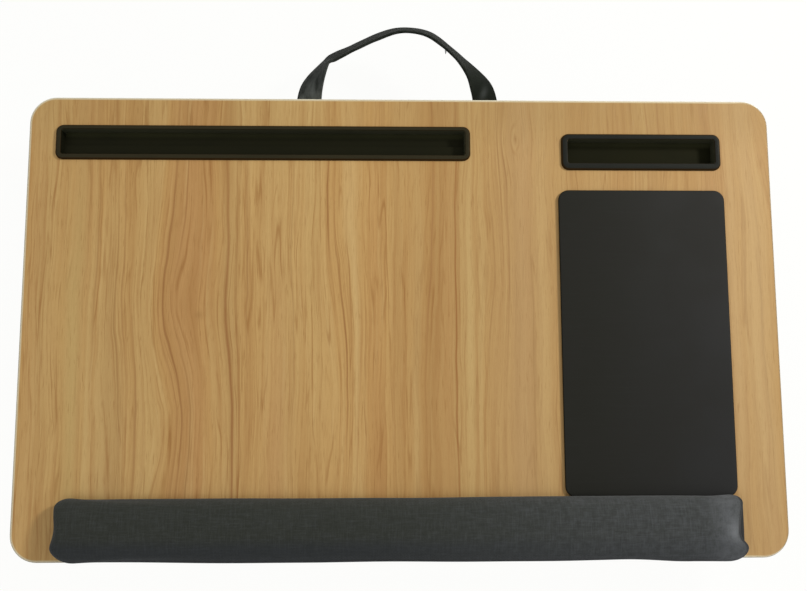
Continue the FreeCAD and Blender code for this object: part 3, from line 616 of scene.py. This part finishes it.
def plain_sheet(name, tone, darker, roughness, grain_scale, relief):
    """Backing sheet, fibreboard, glue or thread: one tone with fine speckle."""
    sheet = Finish(name, tone, roughness, specular=0.3)
    speckle = sheet.place().noise(scale=grain_scale, detail=3.0, roughness=0.65)
    cloud = sheet.place(30, 30, 30).noise(detail=3.0)
    sheet.glaze(speckle.fit(0.42, 0.68, 0.0, 0.6), darker)
    sheet.glaze(cloud.fit(0.4, 0.7, 0.0, 0.4), darker)
    sheet.set("Roughness", cloud.fit(0.3, 0.7, roughness - 0.06, roughness + 0.06))
    sheet.bump(speckle, relief)
    return sheet.finished()


def fuzzy_strip(name, tone, tip):
    """Hook or loop tape: a dense nap of tiny loops."""
    strip = Finish(name, tone, roughness=0.9, specular=0.15, sheen=0.4)
    nap = strip.place().noise(scale=2.6, detail=4.0, roughness=0.7)
    strip.glaze(nap.fit(0.4, 0.65), tip)
    strip.bump(nap, 0.0004)
    return strip.finished()


# Shapes

def new_piece(name, mesh, material, smooth=True):
    """Object from a bmesh; its place is in its mesh."""
    data = bpy.data.meshes.new(name)
    mesh.to_mesh(data)
    mesh.free()
    data.materials.append(material)
    if smooth:
        data.shade_smooth()
    return add_object(name, data)


def settled(name, source, material):
    """Object from another one as it looks after its modifiers or its curve settings."""
    bpy.context.view_layer.update()
    data = bpy.data.meshes.new_from_object(
        source.evaluated_get(bpy.context.evaluated_depsgraph_get()))
    bpy.data.objects.remove(source)
    data.name = name
    data.materials.clear()
    data.materials.append(material)
    return add_object(name, data)


def smooth_by_angle(piece, degrees):
    """Smooth faces, with the edges sharper than the angle kept crisp."""
    data = piece.data
    data.shade_smooth()
    data.set_sharp_from_angle(angle=math.radians(degrees))


class Plan:
    """Rounded rectangle in plan, for drawing walls up, down, in and out from one outline."""

    def __init__(self, x0, x1, y0, y1, radius):
        self.x0, self.x1, self.y0, self.y1, self.radius = x0, x1, y0, y1, radius

    def inset(self, left, right, front, back, radius=None):
        return Plan(self.x0 + left, self.x1 - right, self.y0 + front, self.y1 - back,
                    self.radius if radius is None else radius)

    def carry(self, point, other):
        """The point's place on another rounded rectangle, as it lies on this one."""
        place = []
        for at, low, high, new_low, new_high in (
                (point.x, self.x0, self.x1, other.x0, other.x1),
                (point.y, self.y0, self.y1, other.y0, other.y1)):
            low, high = low + self.radius, high - self.radius
            new_low, new_high = new_low + other.radius, new_high - other.radius
            centre = min(max(at, low), high)
            share = (centre - low) / (high - low)
            place.append(new_low + share * (new_high - new_low)
                         + (at - centre) * other.radius / self.radius)
        return place


def outline(mesh, plan, z, steps):
    """Flat face with rounded corners. Returns its edges."""
    grid = bmesh.ops.create_grid(mesh, x_segments=1, y_segments=1, size=1.0)
    size = Vector(((plan.x1 - plan.x0) / 2, (plan.y1 - plan.y0) / 2, 1))
    middle = Vector(((plan.x0 + plan.x1) / 2, (plan.y0 + plan.y1) / 2, z))
    bmesh.ops.scale(mesh, verts=grid["verts"], vec=size)
    bmesh.ops.translate(mesh, verts=grid["verts"], vec=middle)
    bmesh.ops.bevel(mesh, geom=grid["verts"], offset=plan.radius, segments=steps, profile=0.5,
                    affect="VERTICES", material=-1)
    face = mesh.faces[:][0]
    edges = face.edges[:]
    bmesh.ops.delete(mesh, geom=[face], context="FACES_ONLY")
    return edges


def draw_wall(mesh, edges, plan, new_plan, z):
    """Extrudes a loop of edges to another rectangle and height. Returns the new loop."""
    made = bmesh.ops.extrude_edge_only(mesh, edges=edges)["geom"]
    for corner in (item for item in made if isinstance(item, bmesh.types.BMVert)):
        corner.co.x, corner.co.y = plan.carry(corner.co, new_plan)
        corner.co.z = z
    return [item for item in made if isinstance(item, bmesh.types.BMEdge)
            and all(abs(v.co.z - z) < 1e-7 for v in item.verts)
            and item not in edges and len(item.link_faces) == 1]


def round_edges(mesh, edges, radius, steps):
    """Rolls the edges over to a radius."""
    bmesh.ops.bevel(mesh, geom=edges, offset=radius, segments=steps, profile=0.5,
                    affect="EDGES", clamp_overlap=True, material=-1)


def boxed(node, radius):
    """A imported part's outline in plan, with its corner radius."""
    low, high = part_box(node)
    return Plan(low.x, high.x, low.y, high.y, radius)


def tray(name, rim, inner, floor_plan, floor, steps_in_floor, material):
    """Moulded tray: rounded rim, lip, trough and the skirt that goes through the board."""
    low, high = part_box(name)
    board = high.z - TRAY_RIM
    mesh = bmesh.new()
    rim_loop = outline(mesh, rim, high.z, 8)
    lip_loop = draw_wall(mesh, rim_loop, rim, inner, high.z)
    floor_loop = draw_wall(mesh, lip_loop, inner, floor_plan, floor)
    bottom = bmesh.ops.contextual_create(mesh, geom=floor_loop)["faces"]
    skirt_loop = draw_wall(mesh, rim_loop, rim, rim, board)
    body = inner.inset(*[-TRAY_WALL] * 4)
    tuck_loop = draw_wall(mesh, skirt_loop, rim, body, board)
    under_loop = draw_wall(mesh, tuck_loop, body, body, low.z)
    bmesh.ops.contextual_create(mesh, geom=under_loop)
    for y, depth in steps_in_floor:
        near = [item for face in bottom if face.is_valid
                for item in (face, *face.edges, *face.verts)]
        cut = bmesh.ops.bisect_plane(mesh, geom=list(dict.fromkeys(near)), dist=TINY,
                                     plane_co=(0, y, 0), plane_no=(0, 1, 0))
        bottom = [item for item in cut["geom"] if isinstance(item, bmesh.types.BMFace)]
    for face in bottom:
        for corner in face.verts:
            for y, depth in reversed(steps_in_floor):
                if corner.co.y <= y + TINY:
                    corner.co.z = depth
    round_edges(mesh, rim_loop, 0.0018, 5)
    round_edges(mesh, [edge for edge in lip_loop if edge.is_valid], 0.0005, 3)
    bmesh.ops.recalc_face_normals(mesh, faces=mesh.faces[:])
    piece = new_piece(name.replace("_tray", "_trough"), mesh, material)
    smooth_by_angle(piece, 35)
    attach(piece, "desk")
    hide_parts(name)


def tablet_trough():
    """Long tray: a ledge along its front, a deeper channel behind it."""
    rim = boxed("tablet_tray", 0.0060)
    inner = rim.inset(0.0042, 0.0042, 0.0042, 0.0035, 0.0020)
    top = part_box("tablet_tray")[1].z
    board = top - TRAY_RIM
    ledge, channel = board - 0.0055, board - TRAY_DEPTH
    ledge_back = inner.y0 + 0.0091
    steps = ((ledge_back, ledge), (ledge_back + 0.0006, channel), (inner.y1, channel))
    floor_plan = inner.inset(0.0004, 0.0004, 0.0012, 0.0004)
    plastic = tray_plastic("tablet_tray_plastic", top, inner, "2D291C", "E8DEB4", "19190F")
    tray("tablet_tray", rim, inner, floor_plan, ledge, steps, plastic)


def phone_trough():
    """Short tray with an even floor."""
    rim = boxed("phone_tray", 0.0062).inset(-0.0020, 0.0008, -0.0007, -0.0010)
    inner = rim.inset(0.0052, 0.0046, 0.0055, 0.0045, 0.0019)
    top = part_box("phone_tray")[1].z
    board = top - TRAY_RIM
    floor_plan = inner.inset(0.0004, 0.0004, 0.0005, 0.0005)
    plastic = tray_plastic("phone_tray_plastic", top, inner, "1A1B17", "F8F8F0", "16160A")
    tray("phone_tray", rim, inner, floor_plan, board - TRAY_DEPTH, (), plastic)


def mouse_mat():
    """Rubber-backed mat with its top edge rolled over."""
    low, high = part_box("mouse_pad")
    plan = boxed("mouse_pad", 0.0085).inset(-0.0017, 0.0011, 0.0, -0.0005)
    mesh = bmesh.new()
    top_loop = outline(mesh, plan, high.z, 10)
    bottom_loop = draw_wall(mesh, top_loop, plan, plan.inset(*[0.0004] * 4), low.z)
    bmesh.ops.contextual_create(mesh, geom=bottom_loop)
    bmesh.ops.contextual_create(mesh, geom=top_loop)
    round_edges(mesh, top_loop, 0.0011, 5)
    bmesh.ops.recalc_face_normals(mesh, faces=mesh.faces[:])
    piece = new_piece("mouse_mat", mesh, pad_surface(high.z))
    smooth_by_angle(piece, 50)
    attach(piece, "desk")
    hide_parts("mouse_pad")


# Padded pieces

def sliced_block(low, high, counts):
    """Block cut into a grid on all sides, with a UV map of its sides folded out flat."""
    mesh = bmesh.new()
    bmesh.ops.create_cube(mesh, size=1.0)
    bmesh.ops.scale(mesh, verts=mesh.verts, vec=high - low)
    bmesh.ops.translate(mesh, verts=mesh.verts, vec=(low + high) / 2)
    for axis, count in enumerate(counts):
        edges = [edge for edge in mesh.edges
                 if abs(edge.verts[0].co[axis] - edge.verts[1].co[axis]) > TINY]
        bmesh.ops.subdivide_edges(mesh, edges=edges, cuts=count - 1, use_grid_fill=True)
    middle = (low + high) / 2
    half = (high - low) / 2
    layer = mesh.loops.layers.uv.new("cloth")
    mesh.normal_update()
    for face in mesh.faces:
        for loop in face.loops:
            place = loop.vert.co - middle
            down = high.z - loop.vert.co.z
            u, v = place.x, place.y
            if abs(face.normal.x) > 0.9:
                u = math.copysign(half.x + down, face.normal.x)
            elif abs(face.normal.y) > 0.9:
                v = math.copysign(half.y + down, face.normal.y)
            loop[layer].uv = (u, v)
    return mesh


def eased(point, low, high, radii):
    """The point of a block, moved so that its upper edges and upright corners are round."""
    start = Vector((min(max(point.x, low.x + radii[0]), high.x - radii[0]),
                    min(max(point.y, low.y + radii[1]), high.y - radii[1]),
                    min(point.z, high.z - radii[2])))
    away = Vector([(point[i] - start[i]) / radii[i] for i in range(3)])
    if away.length < 1e-9:
        return point.copy()
    away *= max(abs(part) for part in away) / away.length
    return start + Vector([away[i] * radii[i] for i in range(3)])


def soft_step(value, low, high):
    """0 below low, 1 above high, and eased in between."""
    share = min(max((value - low) / (high - low), 0.0), 1.0)
    return share * share * (3 - 2 * share)


def inflate(piece, held, pressure, cap, limits):
    """Blows the cover up as cloth with its held points fixed; no point moves beyond cap."""
    scene = bpy.context.scene
    group = piece.vertex_groups.new(name="held")
    group.add(held, 1.0, "REPLACE")
    start = [vertex.co.copy() for vertex in piece.data.vertices]
    cloth = piece.modifiers.new("cloth", "CLOTH")
    for setting, value in (("quality", 6), ("mass", 0.25), ("tension_stiffness", 20),
                           ("compression_stiffness", 20), ("shear_stiffness", 8),
                           ("bending_stiffness", 0.8), ("use_pressure", True),
                           ("uniform_pressure_force", pressure)):
        setattr(cloth.settings, setting, value)
    cloth.settings.effector_weights.gravity = 0.0
    cloth.settings.vertex_group_mass = "held"
    cloth.collision_settings.use_collision = cloth.collision_settings.use_self_collision = False
    cloth.point_cache.frame_start = 1
    cloth.point_cache.frame_end = CLOTH_FRAMES
    for frame_number in range(1, CLOTH_FRAMES + 1):
        scene.frame_set(frame_number)
    swollen = piece.evaluated_get(bpy.context.evaluated_depsgraph_get()).data
    moved = [vertex.co.copy() for vertex in swollen.vertices]
    piece.modifiers.remove(cloth)
    piece.vertex_groups.clear()
    scene.frame_set(1)
    for vertex, old, new in zip(piece.data.vertices, start, moved):
        step = new - old
        if step.length > cap:
            step *= cap / step.length
        vertex.co = old + step
        vertex.co.z = min(max(vertex.co.z, limits[0]), limits[1])
    piece.data.update()


def finer(piece):
    """Smooths the cover's grid once more."""
    rounding = piece.modifiers.new("rounding", "SUBSURF")
    rounding.levels = rounding.render_levels = 1


def rest_end(side, at_right):
    """How far the rest's end is drawn in, for side from -1 at the front to 1 at the back."""
    front = max(0.0, -side)
    past = max(0.0, front - 0.45) / 0.55
    back_corner = 0.0046 * (max(0.0, side - 0.65) / 0.35) ** 2
    if at_right:
        waist = 0.0067 * math.cos(min(1.0, abs(side + 0.12) * 0.89) * math.pi / 2)
        ear = 0.0052 * math.exp(-((front - 0.59) / (0.21 if front < 0.59 else 0.30)) ** 2)
        corner = 0.0026 * past ** 5 + back_corner
    else:
        waist = 0.0014 * math.cos(side * math.pi / 2) ** 2
        ear = 0.0022 * math.exp(-((front - 0.52) / 0.26) ** 2)
        corner = 0.0085 * past ** 2 + back_corner
    return waist - 0.0004 - ear + corner


def wrist_rest(cloth):
    """Foam bar in a linen-look cover: crowned, tucked in at the base, waisted at its ends."""
    low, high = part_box("wrist_rest_cover")
    low = low + Vector((0.0, -0.0004, 0.0))
    high = high - Vector((0.0008, -0.0018, 0.0008))
    middle = (low + high) / 2
    half = (high - low) / 2
    height = high.z - low.z
    crown_radius = 0.052
    mesh = sliced_block(low, high, (130, 20, 6))
    held = [vertex.index for vertex in mesh.verts if vertex.co.z < low.z + TINY]
    for vertex in mesh.verts:
        place = eased(vertex.co, low, high, (0.0070, 0.0062, 0.0062))
        side = (place.y - middle.y) / half.y
        up = (place.z - low.z) / height
        end = abs(place.x - middle.x)
        near_end = soft_step(end, half.x - 0.040, half.x)
        crown = crown_radius - math.sqrt(crown_radius ** 2 - (place.y - middle.y) ** 2)
        drop = crown * 1.05 + 0.0016 * near_end * near_end
        place.z = low.z + up * (height - drop)
        place.y -= math.copysign((0.0036 if side > 0 else 0.0020) * (1 - up) ** 3, side)
        at_right = place.x > middle.x
        inwards = near_end * rest_end(side, at_right)
        place.x += -inwards if at_right else inwards
        bow = 0.0015 * (1 - soft_step(abs(place.x + 0.005), 0.11, 0.24)) - 0.0005
        bow += 0.0022 * soft_step(place.x, 0.165, 0.220) * (1 - soft_step(place.x, 0.248, 0.268))
        place.y -= bow * max(0.0, -side) ** 2 * math.sin(min(up * 2.4, 1.0) * math.pi / 2)
        wave = noise.noise(Vector((place.x * 14, side * 0.6, 2.0)))
        place.y += 0.0008 * wave * abs(side) * up
        vertex.co = place
    piece = new_piece("wrist_rest_padding", mesh, cloth)
    inflate(piece, held, 3.5, 0.0012, limits=(low.z, high.z + 0.0010))
    finer(piece)
    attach(piece, "desk")
    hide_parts("wrist_rest_cover", "wrist_rest_foam")


def rim_of_block(mesh, low, high, z):
    """Indices of the points round a sliced block at one height, in order."""
    middle = (low + high) / 2
    half = (high - low) / 2
    found = []
    for vertex in mesh.verts:
        place = vertex.co
        if abs(place.z - z) > TINY:
            continue
        across = (place.x - middle.x) / half.x
        along = (place.y - middle.y) / half.y
        if max(abs(across), abs(along)) < 1 - 1e-5:
            continue
        if along < -1 + 1e-5:
            run = across
        elif across > 1 - 1e-5:
            run = 2 + along
        elif along > 1 - 1e-5:
            run = 4 - across
        else:
            run = 6 - along
        found.append((round(run % 8, 5), vertex.index))
    return [index for run, index in sorted(found)]


def pucker(piece, low, high):
    """Small gathers that run in from the seams, and shallow dents where the filling is thin."""
    middle = (low + high) / 2
    for vertex in piece.data.vertices:
        place = vertex.co
        if place.z > low.z + 0.020:
            continue
        from_end = high.x - abs(place.x - middle.x) - middle.x
        from_side = min(place.y - low.y, high.y - place.y)
        gathers = 0.0
        for distance, run in ((from_end, place.y), (from_side, place.x)):
            near = soft_step(distance, 0.004, 0.014) * (1 - soft_step(distance, 0.018, 0.060))
            gathers += near * noise.noise(Vector((run * 70, distance * 12, 6.0)))
        dents = noise.noise(Vector((place.x * 11, place.y * 16, 8.0)))
        vertex.co.z += max(0.0, 0.0016 * gathers + 0.0012 * dents)


def bolster(name, node, pillow, valley_at_back, cloth):
    """Stuffed half of the cushion, round below and flat on top. Returns its seam's path."""
    low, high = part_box(node)
    mesh = sliced_block(low, high, (96, 26, 5))
    middle = (low + high) / 2
    half = (high - low) / 2
    seam = rim_of_block(mesh, low, high, low.z)
    top_seam = rim_of_block(mesh, low, high, high.z)
    end_run, belly_from, valley_run = 0.042, 0.104, 0.062
    held = []
    for vertex in mesh.verts:
        flat = vertex.co.copy()
        up = (flat.z - low.z) / (high.z - low.z)
        outward = high.y - flat.y if valley_at_back else flat.y - low.y
        end = max(0.0, (abs(flat.x) - half.x + end_run) / end_run)
        outer = max(0.0, (outward - belly_from) / (2 * half.y - belly_from))
        inner = max(0.0, (valley_run - outward) / valley_run)
        reach = min(1.0, (end ** 6 + outer ** 6) ** (1 / 6))
        rim_height = 0.024 if outer > end else 0.019 + 0.005 * outer
        under = rim_height * (1 - math.sqrt(max(0.0, 1 - reach ** 2)))
        valley = 0.030 * (1 - math.sqrt(max(0.0, 1 - inner ** 2)))
        under = max(under, valley)
        draw = 0.006 * (1 - math.sqrt(max(0.0, 1 - end ** 2)))
        place = flat.copy()
        place.z = low.z + under + up * (high.z - low.z - under)
        if outer > 0:
            place.y += (1 if valley_at_back else -1) * draw * outer
        bend = BOLSTER_CORNER
        centre_x = min(max(flat.x, bend - half.x), half.x - bend)
        centre_y = max(flat.y, low.y + bend) if valley_at_back else min(flat.y, high.y - bend)
        away = Vector((flat.x - centre_x, flat.y - centre_y)) / bend
        if away.length > 1e-9:
            away *= max(abs(away.x), abs(away.y)) / away.length
            place.x += centre_x + away.x * bend - flat.x
            place.y += centre_y + away.y * bend - flat.y
        vertex.co = place
        at_zip = not valley_at_back and outer > 0.999 and abs(flat.x) < ZIP_HALF_LENGTH
        in_valley = outward < TINY
        if flat.z > high.z - TINY or at_zip or in_valley:
            held.append(vertex.index)
    piece = new_piece(name, mesh, cloth)
    inflate(piece, held, 4.0, 0.007, limits=(0.0, high.z))
    for loop in (seam, top_seam):
        for index in loop:
            vertex = piece.data.vertices[index]
            inwards = Vector((middle.x - vertex.co.x, middle.y - vertex.co.y, 0)).normalized()
            if abs(vertex.co.x) > half.x - 0.045:
                inwards = Vector((-math.copysign(0.7, vertex.co.x), inwards.y, 0)).normalized()
            else:
                inwards = Vector((0, math.copysign(1, inwards.y), 0))
            vertex.co += inwards * 0.0008
    path = [piece.data.vertices[index].co.copy() for index in seam]
    pucker(piece, low, high)
    finer(piece)
    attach(piece, "desk")
    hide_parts(node, pillow)
    return path


def round_bar(name, path, radius, material, closed, body):
    """Thin round bar or piping along a smooth line of points."""
    line_data = bpy.data.curves.new(name, "CURVE")
    line_data.dimensions = "3D"
    line_data.bevel_depth = radius
    line_data.bevel_resolution = 2
    line_data.resolution_u = 3
    spline = line_data.splines.new("NURBS")
    spline.points.add(len(path) - 1)
    for point, place in zip(spline.points, path):
        point.co = (*place, 1.0)
    spline.order_u = 3
    spline.use_cyclic_u = closed
    spline.use_endpoint_u = not closed
    piece = settled(name, add_object(name + "_line", line_data), material)
    piece.data.shade_smooth()
    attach(piece, body)


# Carry strap

def catmull(before, start, end, after, share):
    """Smooth curve from start to end, for points given as tuples of numbers."""
    result = []
    for a, b, c, d in zip(before, start, end, after):
        slope_in, slope_out = (c - a) / 2, (d - b) / 2
        result.append(b + slope_in * share
                      + (3 * (c - b) - 2 * slope_in - slope_out) * share ** 2
                      + (2 * (b - c) + slope_in + slope_out) * share ** 3)
    return tuple(result)


def strap_line():
    """Middle of the webbing as (x, y, roll), from one tail under the board to the other.

    The stations are in millimetres from the middle of the board's back edge, and degrees.
    """
    middle_x, back = -0.0039, 0.148069
    stations = ((-73, -26, 0), (-73, -18, 0), (-73, -10, 0), (-73, -4, 0),
                (-72.9, 2, 0), (-71.3, 12, 18), (-67.5, 22, 39), (-61.5, 32.7, 60),
                (-58.6, 36, 62), (-54.4, 38.9, 54), (-48.5, 42.2, 55), (-36.7, 48.1, 58),
                (-19, 56.8, 58), (-2, 63.1, 58), (13, 63.7, 58.5), (27, 60.1, 58),
                (40, 50.7, 60.5), (53, 38.6, 58), (64.1, 25.1, 41), (70.2, 13, 14),
                (72.8, 2, 0), (73, -4, 0), (73, -10, 0), (73, -18, 0), (73, -26, 0))
    placed = [(middle_x + x * MM, back + y * MM, math.radians(roll)) for x, y, roll in stations]
    line = []
    for i in range(len(placed) - 1):
        before = placed[max(i - 1, 0)]
        after = placed[min(i + 2, len(placed) - 1)]
        for step in range(8):
            line.append(catmull(before, placed[i], placed[i + 1], after, step / 8))
    return line + [placed[-1]]


def carry_strap():
    """One flat webbing that leaves the board flat and rolls on to its edge round the loop."""
    width, thickness = 0.020, 0.0022
    height = (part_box("strap_tail_left")[0].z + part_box("strap_tail_left")[1].z) / 2
    line = strap_line()
    lengths = [0.0]
    for here, there in zip(line, line[1:]):
        lengths.append(lengths[-1] + math.dist(here[:2], there[:2]))
    steps = len(line) - 1
    mesh = bmesh.new()
    bmesh.ops.create_grid(mesh, x_segments=steps, y_segments=6, size=0.5)
    layer = mesh.loops.layers.uv.new("cloth")
    for face in mesh.faces:
        for loop in face.loops:
            step = round((loop.vert.co.x + 0.5) * steps)
            loop[layer].uv = (lengths[step], loop.vert.co.y * width)
    for vertex in mesh.verts:
        step = round((vertex.co.x + 0.5) * steps)
        across = vertex.co.y * width
        x, y, roll = line[step]
        in_loop = soft_step(y, 0.175, 0.190)
        roll += math.radians(2.5) * in_loop * noise.noise(Vector((x * 75, y * 75, 4.0)))
        before, after = line[max(step - 1, 0)], line[min(step + 1, steps)]
        heading = math.atan2(after[1] - before[1], after[0] - before[0])
        side = Vector((-math.sin(heading), math.cos(heading), 0))
        wide = side * math.cos(roll) - Vector((0, 0, math.sin(roll)))
        thick = side * math.sin(roll) + Vector((0, 0, math.cos(roll)))
        vertex.co = Vector((x, y, height)) + wide * across - thick * thickness / 2
    mesh.normal_update()
    bmesh.ops.solidify(mesh, geom=mesh.faces[:], thickness=-thickness)
    bmesh.ops.recalc_face_normals(mesh, faces=mesh.faces[:])
    sharp = [edge for edge in mesh.edges
             if len(edge.link_faces) == 2 and edge.calc_face_angle() > 1.0]
    round_edges(mesh, sharp, 0.0007, 2)
    bmesh.ops.remove_doubles(mesh, verts=mesh.verts[:], dist=TINY)
    piece = new_piece("carry_webbing", mesh, webbing(lengths[-1] * 1000))
    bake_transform(piece)
    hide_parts("carry_strap", "strap_tail_left", "strap_tail_right")


def screw_heads(material):
    """Two pan heads with a cross recess, seen from below."""
    low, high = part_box("strap_screws")
    radius, height, dome = 0.0035, 0.0018, 0.0007
    recess_length, recess_width = 0.0042, 0.0008
    places = [(x, (low.y + high.y) / 2) for x in (low.x + radius, high.x - radius)]
    mesh = bmesh.new()
    for x, y in places:
        head = bmesh.ops.create_cone(mesh, cap_ends=True, segments=40, radius1=radius,
                                     radius2=radius, depth=height)["verts"]
        brim = [edge for edge in mesh.edges
                if all(end in head and end.co.z < 0 for end in edge.verts)]
        bmesh.ops.translate(mesh, verts=head, vec=(x, y, low.z + height / 2))
        round_edges(mesh, brim, dome, 4)
    blanks = new_piece("screw_blanks", mesh, material, smooth=False)
    cutters = []
    for wide, deep in ((recess_width, recess_length), (recess_length, recess_width)):
        mesh = bmesh.new()
        for x, y in places:
            block = bmesh.ops.create_cube(mesh, size=1.0)["verts"]
            bmesh.ops.scale(mesh, verts=block, vec=(wide, deep, height))
            bmesh.ops.translate(mesh, verts=block, vec=(x, y, low.z))
        cutters.append(new_piece("recess", mesh, material, smooth=False))
        cut = blanks.modifiers.new("recess", "BOOLEAN")
        cut.operation = "DIFFERENCE"
        cut.solver = "EXACT"
        cut.object = cutters[-1]
    piece = settled("screw_heads", blanks, material)
    for cutter in cutters:
        bpy.data.objects.remove(cutter)
    smooth_by_angle(piece, 35)
    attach(piece, "desk")
    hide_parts("strap_screws")


def frayed_threads(material):
    """Two short threads that have come out of the webbing's inner edge."""
    for name, points in (
            ("frayed_thread_1", ((36.8, 193.6, 52.4), (36.3, 191.8, 52.2),
                                 (36.5, 190.4, 52.0), (35.8, 189.0, 51.8))),
            ("frayed_thread_2", ((36.0, 194.0, 52.6), (35.7, 192.2, 52.3),
                                 (35.6, 190.9, 52.2), (36.0, 189.8, 52.1)))):
        path = [Vector(place) * MM for place in points]
        round_bar(name, path, 0.00028, material, False, "strap")


def dress(node, material, ease=0.0):
    """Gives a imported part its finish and, where asked, softens its edges a little."""
    data = nodes[node].data
    data.materials.clear()
    data.materials.append(material)
    if ease:
        weld = nodes[node].modifiers.new("joined", "WELD")
        weld.merge_threshold = TINY
        easing = nodes[node].modifiers.new("eased", "BEVEL")
        easing.width = ease
        easing.segments = 2
        easing.limit_method = "ANGLE"
        easing.angle_limit = math.radians(40)


bpy.context.scene.view_settings.view_transform = "Standard"
add_camera()
light_world()
add_lamp("key_lamp", (1.15, 0.58, 0.86), 0.26, 16.0, (1.0, 0.985, 0.96))
add_lamp("fill_lamp", (-0.6, -0.5, 1.6), 1.4, 3.0, (0.97, 0.985, 1.0))
add_lamp("under_lamp", (-0.5, -0.7, -1.5), 1.6, 12.0, (1.0, 1.0, 1.0))
add_floor()

tablet_trough()
phone_trough()
mouse_mat()
# Linen tones: paler threads, also laid as painted light towards the right end, and pale wear, also
# laid as a painted patch and highlight there.
wrist_rest(woven("wrist_rest_linen", "262822", "3A3C36", "4B4D47", 0.7, 0.00012, heather=0.24,
                 slub_run=7.0, mottle=0.05, linen_tones=("515356", "707275")))

cushion_cloth = woven("cushion_cloth", "292A2B", "3A3B3C", "48494B", 0.7, 0.0001, heather=0.3)
piping_cloth = woven("piping_cloth", "232425", "303132", "3A3B3C", 0.6, 0.00008, heather=0.2)
for name, node, pillow, valley_at_back in (
        ("front_bolster", "front_bolster_cover", "front_bolster_pillow", True),
        ("rear_bolster", "rear_bolster_cover", "rear_bolster_pillow", False)):
    seam_path = bolster(name, node, pillow, valley_at_back, cushion_cloth)
    round_bar(name + "_piping", seam_path, 0.0011, piping_cloth, True, "desk")
carry_strap()
frayed_threads(plain_sheet("thread_grey", "6E706E", "55575A", 0.8, 3.0, 0.00001))

dress("top_laminate", wood_laminate())
dress("edge_band", edge_banding(), 0.0003)
dress("board_core", plain_sheet("fibreboard", "A98B63", "8E7350", 0.85, 1.6, 0.00006))
dress("bottom_laminate", plain_sheet("backing_sheet", "D9D3C4", "CCC4B2", 0.55, 0.6, 0.00002))
dress("mouse_pad_adhesive", plain_sheet("pad_glue", "C9C6BC", "BDB9AD", 0.4, 0.8, 0.00001))
dress("wrist_rest_base", plain_sheet("rest_base_sheet", "2A2A2A", "222222", 0.6, 0.9, 0.00002))
dress("wrist_rest_adhesive", plain_sheet("rest_glue", "C9C6BC", "BDB9AD", 0.4, 0.8, 0.00001))
dress("loop_strips", fuzzy_strip("loop_tape", "141516", "2A2B2D"))
dress("hook_strips", fuzzy_strip("hook_tape", "101112", "1E1F20"))
dress("strap_clamp_plates", brushed_metal("clamp_steel", "A2A4A6"), 0.0002)
screw_heads(brushed_metal("screw_steel", "B0B2B4"))
dress("zip_tapes", woven("zip_tape_weave", "18191A", "26282A", "2E3032", 0.5, 0.00006))
dress("zip_teeth", moulded_plastic("zip_teeth_plastic", "151616", "1E2020", 0.35, 0.000008),
      0.0002)
dress("zip_stops", brushed_metal("zip_stop_metal", "5A5C5E"), 0.0002)
dress("zip_slider", brushed_metal("zip_slider_metal", "4E5052", 0.34), 0.00025)
dress("zip_pull", brushed_metal("zip_pull_metal", "4E5052", 0.34), 0.00025)
